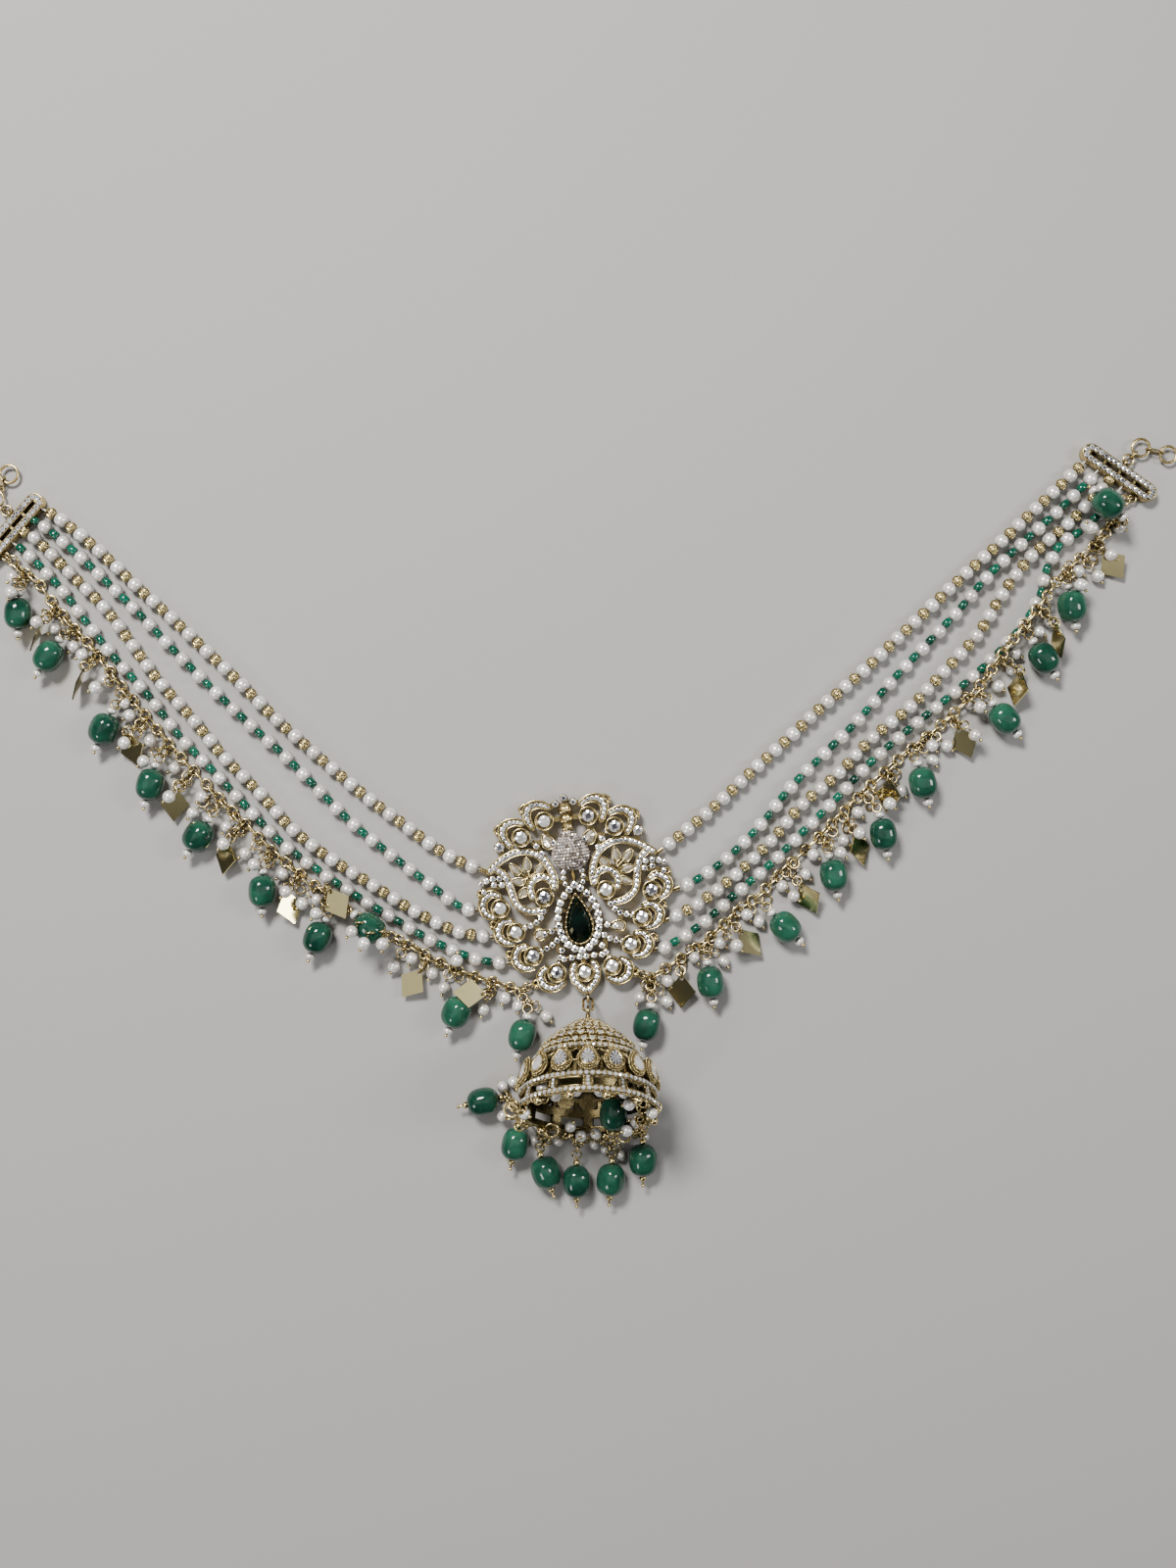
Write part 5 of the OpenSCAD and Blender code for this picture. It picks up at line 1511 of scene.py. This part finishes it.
TEARDROP_W = 5.2
TEARDROP_TIP = 6.8 - TEARDROP_W / 2
TEARDROP_AT = 8.4
TEARDROP_X = bell_radius(TEARDROP_AT) - 1
TEARDROP_LEAN = math.radians(12)
TEARDROP_STEPS = ((2.2, 1), (2.9, 0.72))
BELL_REST = TEARDROP_X * math.cos(BELL_LIFT) + TEARDROP_AT * math.sin(BELL_LIFT) + max(
    depth * math.cos(TEARDROP_LEAN - BELL_LIFT)
    + share * TEARDROP_TIP * math.sin(BELL_LIFT - TEARDROP_LEAN) for depth, share in TEARDROP_STEPS)
BELL = Matrix.Translation((*BELL_AT, BELL_REST)) @ Matrix.Rotation(-math.pi / 2 - BELL_LIFT, 4, "X")
BAYS = 16
RIM_WINDOWS = 12
# Openings: across and height of each corner of an arch; width, height and middle of the square ones
ARCH = [(-2.15, 9), (2.15, 9), (2.15, 11), (0, 12.9), (-2.15, 11)]
SQUARE = (2.4, 2.3, 7.3)
RIM_WINDOW = (6.6, 2.4, 2.9)
UPRIGHT_STONE_R = 0.52
UPRIGHT_STONE_HEIGHTS = (1.95, 3.05, 4.1)
UPRIGHT_GRAIN_HEIGHTS = (1.5, 2.05, 2.6, 3.15, 3.7, 4.25)
RIDGES = (0.7, 5, 14)
RIDGE_R = 0.75
RIDGE_STONE_R = 0.58
RIDGE_STONE_PITCH = 1.5
RIDGE_BEAD_R = 0.26
RIDGE_GRAIN_OFF = 0.72
RIDGE_GRAIN_PITCH = 0.48
CAP_R = 1.15
WINDOW_WIRE = 0.2
DROP_WIRE = 0.22
DROP_GRAIN_R = 0.29
DROP_GRAIN_PITCH = 0.6
# Beads: as on the fringe, then the angle on the rim where the string starts, and how far outside it
BELL_BEADS = [
    (-29.5, -79, 3.9, -168, 188, 1), (-20.5, -91, 3.9, -101, 215, 0), (-11.8, -99, 3.9, -72, 240, 0),
    (-3.2, -101.5, 3.9, -90, 262, 0), (6.4, -101, 3.9, -94, 285, 0), (15.4, -95.5, 3.9, -90, 318, 0),
    (7, -81, 11.2, -90, 62, -1.2),
]
STRING_DROP = 0.65
# Pearls and rings at the bell's rim, in pixels of the photograph
RIM_PEARLS = [
    (513, 1109), (524, 1104), (517, 1128), (536, 1131), (513, 1138), (664, 1130), (648, 1145), (662, 1143),
    (639, 1150), (548, 1148), (582, 1150), (593, 1158), (608, 1156), (546, 1164), (570, 1164), (607, 1167),
    (618, 1172), (633, 1179), (657, 1160),
]
UPPER_RIM_PEARLS = [(553, 1111), (567, 1118), (588, 1113), (612, 1113), (637, 1115), (642, 1127)]
UPPER_RIM_PEARL_Z = 29
RIM_CLUSTERS = [(530, 1115), (535, 1140), (555, 1160), (592, 1163), (628, 1158), (652, 1120), (655, 1135)]
RIM_RINGS = [(524, 1121), (563, 1153), (591, 1168), (636, 1160), (655, 1124)]
RIM_RING_R = 1.9
RIM_RING_WIRE = 0.36
RIM_BALL_R = 0.95
RIM_THINGS_Z = 10
# Crown: height, stone radius and pitch of each row of stones, and the heights of the rows of grains
CROWN_STONES = [(16, 0.78, 2.2), (18.2, 0.95, 2.6), (20.3, 0.78, 2.2), (21.95, 0.72, 2.05),
                (23.4, 0.62, 1.8), (24.8, 0.55, 1.65)]
CROWN_GRAIN_R = 0.34
CROWN_GRAIN_PITCH = 0.78
CROWN_GRAINS = [15.1, 17, 19.3, 21.15, 22.7, 24.1, 25.45, 26.1]


def on_wall(angle, across, h, out=0.0):
    """A point on the bell's wall beside an angle, across in millimetres."""
    r = bell_radius(h) + out
    a = angle + across / r
    return Vector((r * math.cos(a), r * math.sin(a), h))


def around(name, piece, count, radius, height, material, lean=0.0, start=0.0):
    """Pieces spaced evenly round the bell's axis."""
    empty = bpy.data.meshes.new("none")
    return made(name, ring_tree, empty, Piece=template(piece), Count=count, Radius=radius, Height=height,
                Lean=lean, Start=start, Seed=1, Material=material)


def wall_lean(h, step=0.4):
    """Angle by which the wall's outward normal looks up."""
    return math.atan((bell_radius(h - step) - bell_radius(h + step)) / (2 * step))


def facing_out(mesh):
    """Turns a piece that looks up so that it looks outwards along X."""
    mesh.transform(Matrix.Rotation(math.pi / 2, 4, "Y"))
    return mesh


def belt(name, piece, h, pitch, material, out, start=0.0):
    """Stones or grains set close round the bell, their feet some way out from its wall."""
    r = bell_radius(h)
    return around(name, piece, round(TURN * r / pitch), r + out, h, material, -wall_lean(h), start)


def drop_outline(share, x):
    """Outline of a teardrop that stands with its point up, at a share of its size, in the plane at x."""
    r, tip = share * TEARDROP_W / 2, share * TEARDROP_TIP
    side = [(r * (1 - t ** 1.6), tip * t) for t in (0, 0.2, 0.4, 0.6, 0.8)]
    foot = [(r * math.cos(a), r * math.sin(a)) for a in (math.pi * (1 + k / 10) for k in range(1, 10))]
    outline = side + [(0, tip)] + [(-y, z) for y, z in reversed(side)] + foot
    return [Vector((x, y, z)) for y, z in outline]


def drop_stone():
    """The teardrop's stone, with facets that meet over its middle and painted glints on them."""
    rings = drop_outline(0.7, 1.9) + drop_outline(0.7, 2.86) + drop_outline(0.5, 3.0)
    n = len(rings) // 3
    faces = [tuple(reversed(range(n)))]
    for low in (0, n):
        faces += [(low + i, low + (i + 1) % n, low + n + (i + 1) % n, low + n + i) for i in range(n)]
    faces += [(2 * n + i, 2 * n + (i + 1) % n, 3 * n) for i in range(n)]
    tones = [0.3] + [0.4] * n + [(0.85, 0.2)[i % 2] for i in range(n)]
    tones += [(1.0, 0.45, 0.9, 0.3)[i % 4] for i in range(n)]
    return painted_glints(solid("drop_stone", rings + [Vector((3.12, 0, 0.4))], faces, smooth=False), tones)


def drop_parts():
    """A teardrop's stone, its smooth bezel and its two beaded borders, as meshes."""
    bezel = wires("drop_bezel", [drop_outline(0.78, 2.74)], DROP_WIRE, closed=True)
    edges = [drop_outline(0.97, 2.4), drop_outline(1.12, 1.85)]
    bead = ball("drop_grain", DROP_GRAIN_R, 1)
    border = row("drop_border", edges, bead, DROP_GRAIN_PITCH, GOLD, closed=True)
    meshes = [drop_stone(), bezel.data, border.data]
    for piece in (bezel, border):
        bpy.data.objects.remove(piece)
    return meshes


def window_outline(middle, corners):
    """Outline of a window in the wall, whose long edges follow the wall."""
    out = []
    for (x1, h1), (x2, h2) in zip(corners, corners[1:] + corners[:1]):
        steps = max(1, round(abs(x2 - x1) / 1.2))
        out += [on_wall(middle, x1 + (x2 - x1) * i / steps, h1 + (h2 - h1) * i / steps, 0.06)
                for i in range(steps)]
    return out


def rectangle(w, h, at):
    """Corners of an opening, w wide and h high, with its middle at a height."""
    return [(-w / 2, at - h / 2), (w / 2, at - h / 2), (w / 2, at + h / 2), (-w / 2, at + h / 2)]


def window_paths():
    """Outlines of the openings: pointed arches over squares, and the wide ones at the rim."""
    out = []
    for i in range(BAYS):
        middle = TURN * (i + 0.5) / BAYS
        out.append(window_outline(middle, ARCH))
        out += [window_outline(middle + side * TURN / BAYS / 4, rectangle(*SQUARE)) for side in (-1, 1)]
    return out + [window_outline(TURN * (i + 0.5) / RIM_WINDOWS, rectangle(*RIM_WINDOW))
                  for i in range(RIM_WINDOWS)]


def string_start(bead):
    """Where a bead's string leaves the bell's rim."""
    a = math.radians(bead[4])
    r = BELL_R + bead[5]
    return BELL @ Vector((r * math.cos(a), -r * math.sin(a), -STRING_DROP))


def rim_nearest(p):
    """The point of the bell's rim that is nearest to a place."""
    return min(placed(BELL, circle(BELL_R, 72, -0.4)), key=lambda q: (q - p).length)


def bell_hangings(below):
    """What hangs from the bell's rim: pins and rings with the beads, and small pearls."""
    dice = random.Random(8)
    loose = Loose(below)
    balls = []
    for bead in BELL_BEADS:
        middle, axis = bead_axis(bead)
        reach = axis * (BEAD_HALF + PIN_HEAD_GAP)
        loose.pin(middle - reach, middle + reach)
        balls += [middle - axis * (BEAD_HALF + 0.75), middle + axis * (BEAD_HALF + 0.5)]
        loose.rings_between(middle - reach + 0.2 * axis, string_start(bead), 4)
    for px, py in UPPER_RIM_PEARLS + RIM_PEARLS:
        if (px, py) in UPPER_RIM_PEARLS:
            spot = photo_point(px, py, UPPER_RIM_PEARL_Z)
        else:
            spot = loose.settled(px, py, RIM_PEARL_R)
        hold = rim_nearest(spot)
        away = (spot - hold).normalized()
        end = loose.pearl_on_pin(spot, away, RIM_PEARL_R)
        if (end - hold).length < 9:
            loose.rings_between(end, hold, 2)
        else:
            loose.ring(end, away.cross(Vector((0, 0, 1))))
    for px, py in RIM_CLUSTERS:
        spot = photo_point(px, py, RIM_THINGS_Z)
        spot.z = rest_height(below, spot.x, spot.y, JUMP_R) - JUMP_R
        loose.cluster(spot, 3, 1.3, dice)
    rings = []
    for px, py in RIM_RINGS:
        spot = photo_point(px, py, RIM_THINGS_Z)
        spot.z = rest_height(below, spot.x, spot.y, RIM_RING_R) - 0.5
        rings.append(spot)
    metal, pearls = loose.pieces("bell")
    lies = [(dice.uniform(-0.6, 0.6), dice.uniform(-0.6, 0.6), 1) for _ in rings]
    rim_ring = ring_mesh("rim_ring", RIM_RING_R, RIM_RING_WIRE)
    metal.append(on_points("rim_rings", rings, rim_ring, GOLD_BRIGHT, lies))
    metal.append(on_points("bell_balls", balls, ball("bell_ball", RIM_BALL_R, 3), GOLD_BRIGHT))
    finished(joined("bell_hanging_metal", metal), "antique_gold", "bell_strings")
    pearls.name = "bell_hanging_pearls"
    finished(pearls, "pearl")


def upright_dots():
    """Places and aims of the stones and the grains on the uprights between the rim's openings."""
    stones, grains, stone_aims, grain_aims = [], [], [], []
    for i in range(RIM_WINDOWS):
        a = TURN * i / RIM_WINDOWS
        aim = (math.cos(a), math.sin(a), 0.12)
        for h in UPRIGHT_STONE_HEIGHTS:
            stones.append(on_wall(a, 0, h, 0.05))
            stone_aims.append(aim)
        for h in UPRIGHT_GRAIN_HEIGHTS:
            grains += [on_wall(a, side * 1.05, h, 0.1) for side in (-1, 1)]
            grain_aims += [aim, aim]
    return stones, stone_aims, grains, grain_aims


def ridge_rows():
    """Small stones on the bell's ridges, between two rows of grains."""
    stone = facing_out(pave_stone(RIDGE_STONE_R))
    bead = ball("ridge_bead", RIDGE_BEAD_R, 1)
    gold, stones = [], []
    for h in RIDGES:
        stones.append(belt("ridge_stones", stone, h, RIDGE_STONE_PITCH, CLEAR, RIDGE_R - 0.04))
        gold.append(belt("ridge_beads", bead, h, RIDGE_STONE_PITCH, GOLD_BRIGHT, RIDGE_R + 0.16, start=0.5))
        gold += [belt("ridge_grains", grain(), h + side * RIDGE_GRAIN_OFF, RIDGE_GRAIN_PITCH, GOLD,
                      RIDGE_R - 0.3) for side in (-1, 1)]
    return gold, stones


def crown_rows():
    """Rows of stones and grains over the bell's crown."""
    bead = ball("crown_grain", CROWN_GRAIN_R, 1)
    gold = [belt("crown_grains", bead, h, CROWN_GRAIN_PITCH, GOLD_BRIGHT, 0.15) for h in CROWN_GRAINS]
    stones = []
    for h, r, pitch in CROWN_STONES:
        stone = facing_out(brilliant(f"crown_stone_{round(100 * r)}", r, 0.8 * r))
        stones.append(belt("crown_stones", stone, h, pitch, CLEAR, 0.2))
        gold.append(belt("crown_collets", facing_out(collet(r)), h, pitch, GOLD_BRIGHT, 0.2))
        gold.append(belt("crown_beads", bead, h, pitch, GOLD_BRIGHT, 0.4, start=0.5))
    return gold, stones


def bell_work():
    """The bell's gold, with its framed openings, and its stones."""
    stone, bezel, border = drop_parts()
    lean = -TEARDROP_LEAN
    spots, aims, grains, grain_aims = upright_dots()
    ridge_gold, ridge_stones = ridge_rows()
    crown_gold, crown_stones = crown_rows()
    gold = [
        wires("bell_windows", window_paths(), WINDOW_WIRE, 6, closed=True),
        on_points("upright_grains", grains, grain(), GOLD_BRIGHT, grain_aims),
        around("rim_caps", ball("rim_cap", CAP_R, 3), RIM_WINDOWS, BELL_R - 0.1, -0.8, GOLD_BRIGHT,
               start=0.5),
        around("drop_bezels", bezel, BAYS, TEARDROP_X, TEARDROP_AT, GOLD_BRIGHT, lean),
        around("drop_borders", border, BAYS, TEARDROP_X, TEARDROP_AT, GOLD_BRIGHT, lean),
    ] + ridge_gold + crown_gold
    stones = [
        on_points("upright_stones", spots, pave_stone(UPRIGHT_STONE_R), CLEAR, aims, jitter=0.05),
        around("drop_stones", stone, BAYS, TEARDROP_X, TEARDROP_AT, CLEAR, lean),
    ] + ridge_stones + crown_stones
    for piece in gold + stones:
        piece.data.transform(BELL)
        on_table(piece.data)
    finished(joined("bell_goldwork", gold), "antique_gold")
    finished(joined("bell_small_stones", stones), "clear_stone")


# Stage, in metres

FLOOR_HALF = 3
FLOOR_DROP = 0.0001
LIT_PLACE = Vector((0, -0.01, 0))
# Lights: name, place, size, power in watts and colour
LIGHTS = [
    ("window", (-0.3, 0.55, 0.8), (0.3, 0.2), 17.5, (1, 0.98, 0.95)),
    ("side", (0.75, 0.1, 0.6), (0.2, 0.3), 3.5, (0.97, 0.98, 1)),
    ("low", (-0.6, -0.5, 0.6), (0.25, 0.25), 2.3, (1, 1, 1)),
    ("left_panel", (-0.4, 0.02, 0.95), (0.52, 0.8), 0.9, (1, 1, 1)),
    ("right_panel", (0.4, 0.02, 0.95), (0.52, 0.8), 0.9, (1, 1, 1)),
]


def stage():
    corners = [(x * FLOOR_HALF, y * FLOOR_HALF, 0) for x, y in ((-1, -1), (1, -1), (1, 1), (-1, 1))]
    floor = shown("floor", solid("floor", corners, [(0, 1, 2, 3)]))
    material, tree = finish_tree("pale_floor")
    tree.fill(tree.surface, {"Base Color": (0.37, 0.358, 0.345, 1), "Roughness": 0.9})
    floor.data.materials.append(material)
    floor.location.z = -FLOOR_DROP


def soft_light(name, place, size, power, color):
    light = bpy.data.lights.new(name, "AREA")
    light.shape = "RECTANGLE"
    light.size, light.size_y = size
    light.energy = power
    light.color = color
    lamp = shown(name, light)
    lamp.location = place
    lamp.rotation_mode = "QUATERNION"
    lamp.rotation_quaternion = (LIT_PLACE - Vector(place)).to_track_quat("-Z", "Y")


def light_and_camera():
    for light in LIGHTS:
        soft_light(*light)
    world = bpy.data.worlds.new("soft_room")
    world.use_nodes = True
    Tree(world.node_tree).fill(world.node_tree.nodes["Background"], {0: (0.9, 0.93, 1, 1), 1: 0.04})
    bpy.context.scene.world = world
    data = bpy.data.cameras.new("camera")
    data.sensor_fit = "AUTO"
    data.sensor_width = 36
    data.lens = CAMERA_LENS
    data.clip_start = 0.01
    camera = shown("camera", data)
    camera.location = (CAMERA_OVER.x * MM, CAMERA_OVER.y * MM, CAMERA_HEIGHT * MM)
    bpy.context.scene.camera = camera


stage()
light_and_camera()
dress_nodes()
all_strands()
all_beads()
BELOW = things_below()
both_fringes(BELOW)
dress_bar("left", LEFT_BAR)
dress_bar("right", RIGHT_BAR)
brooch_work()
bell_work()
bell_hangings(BELOW)
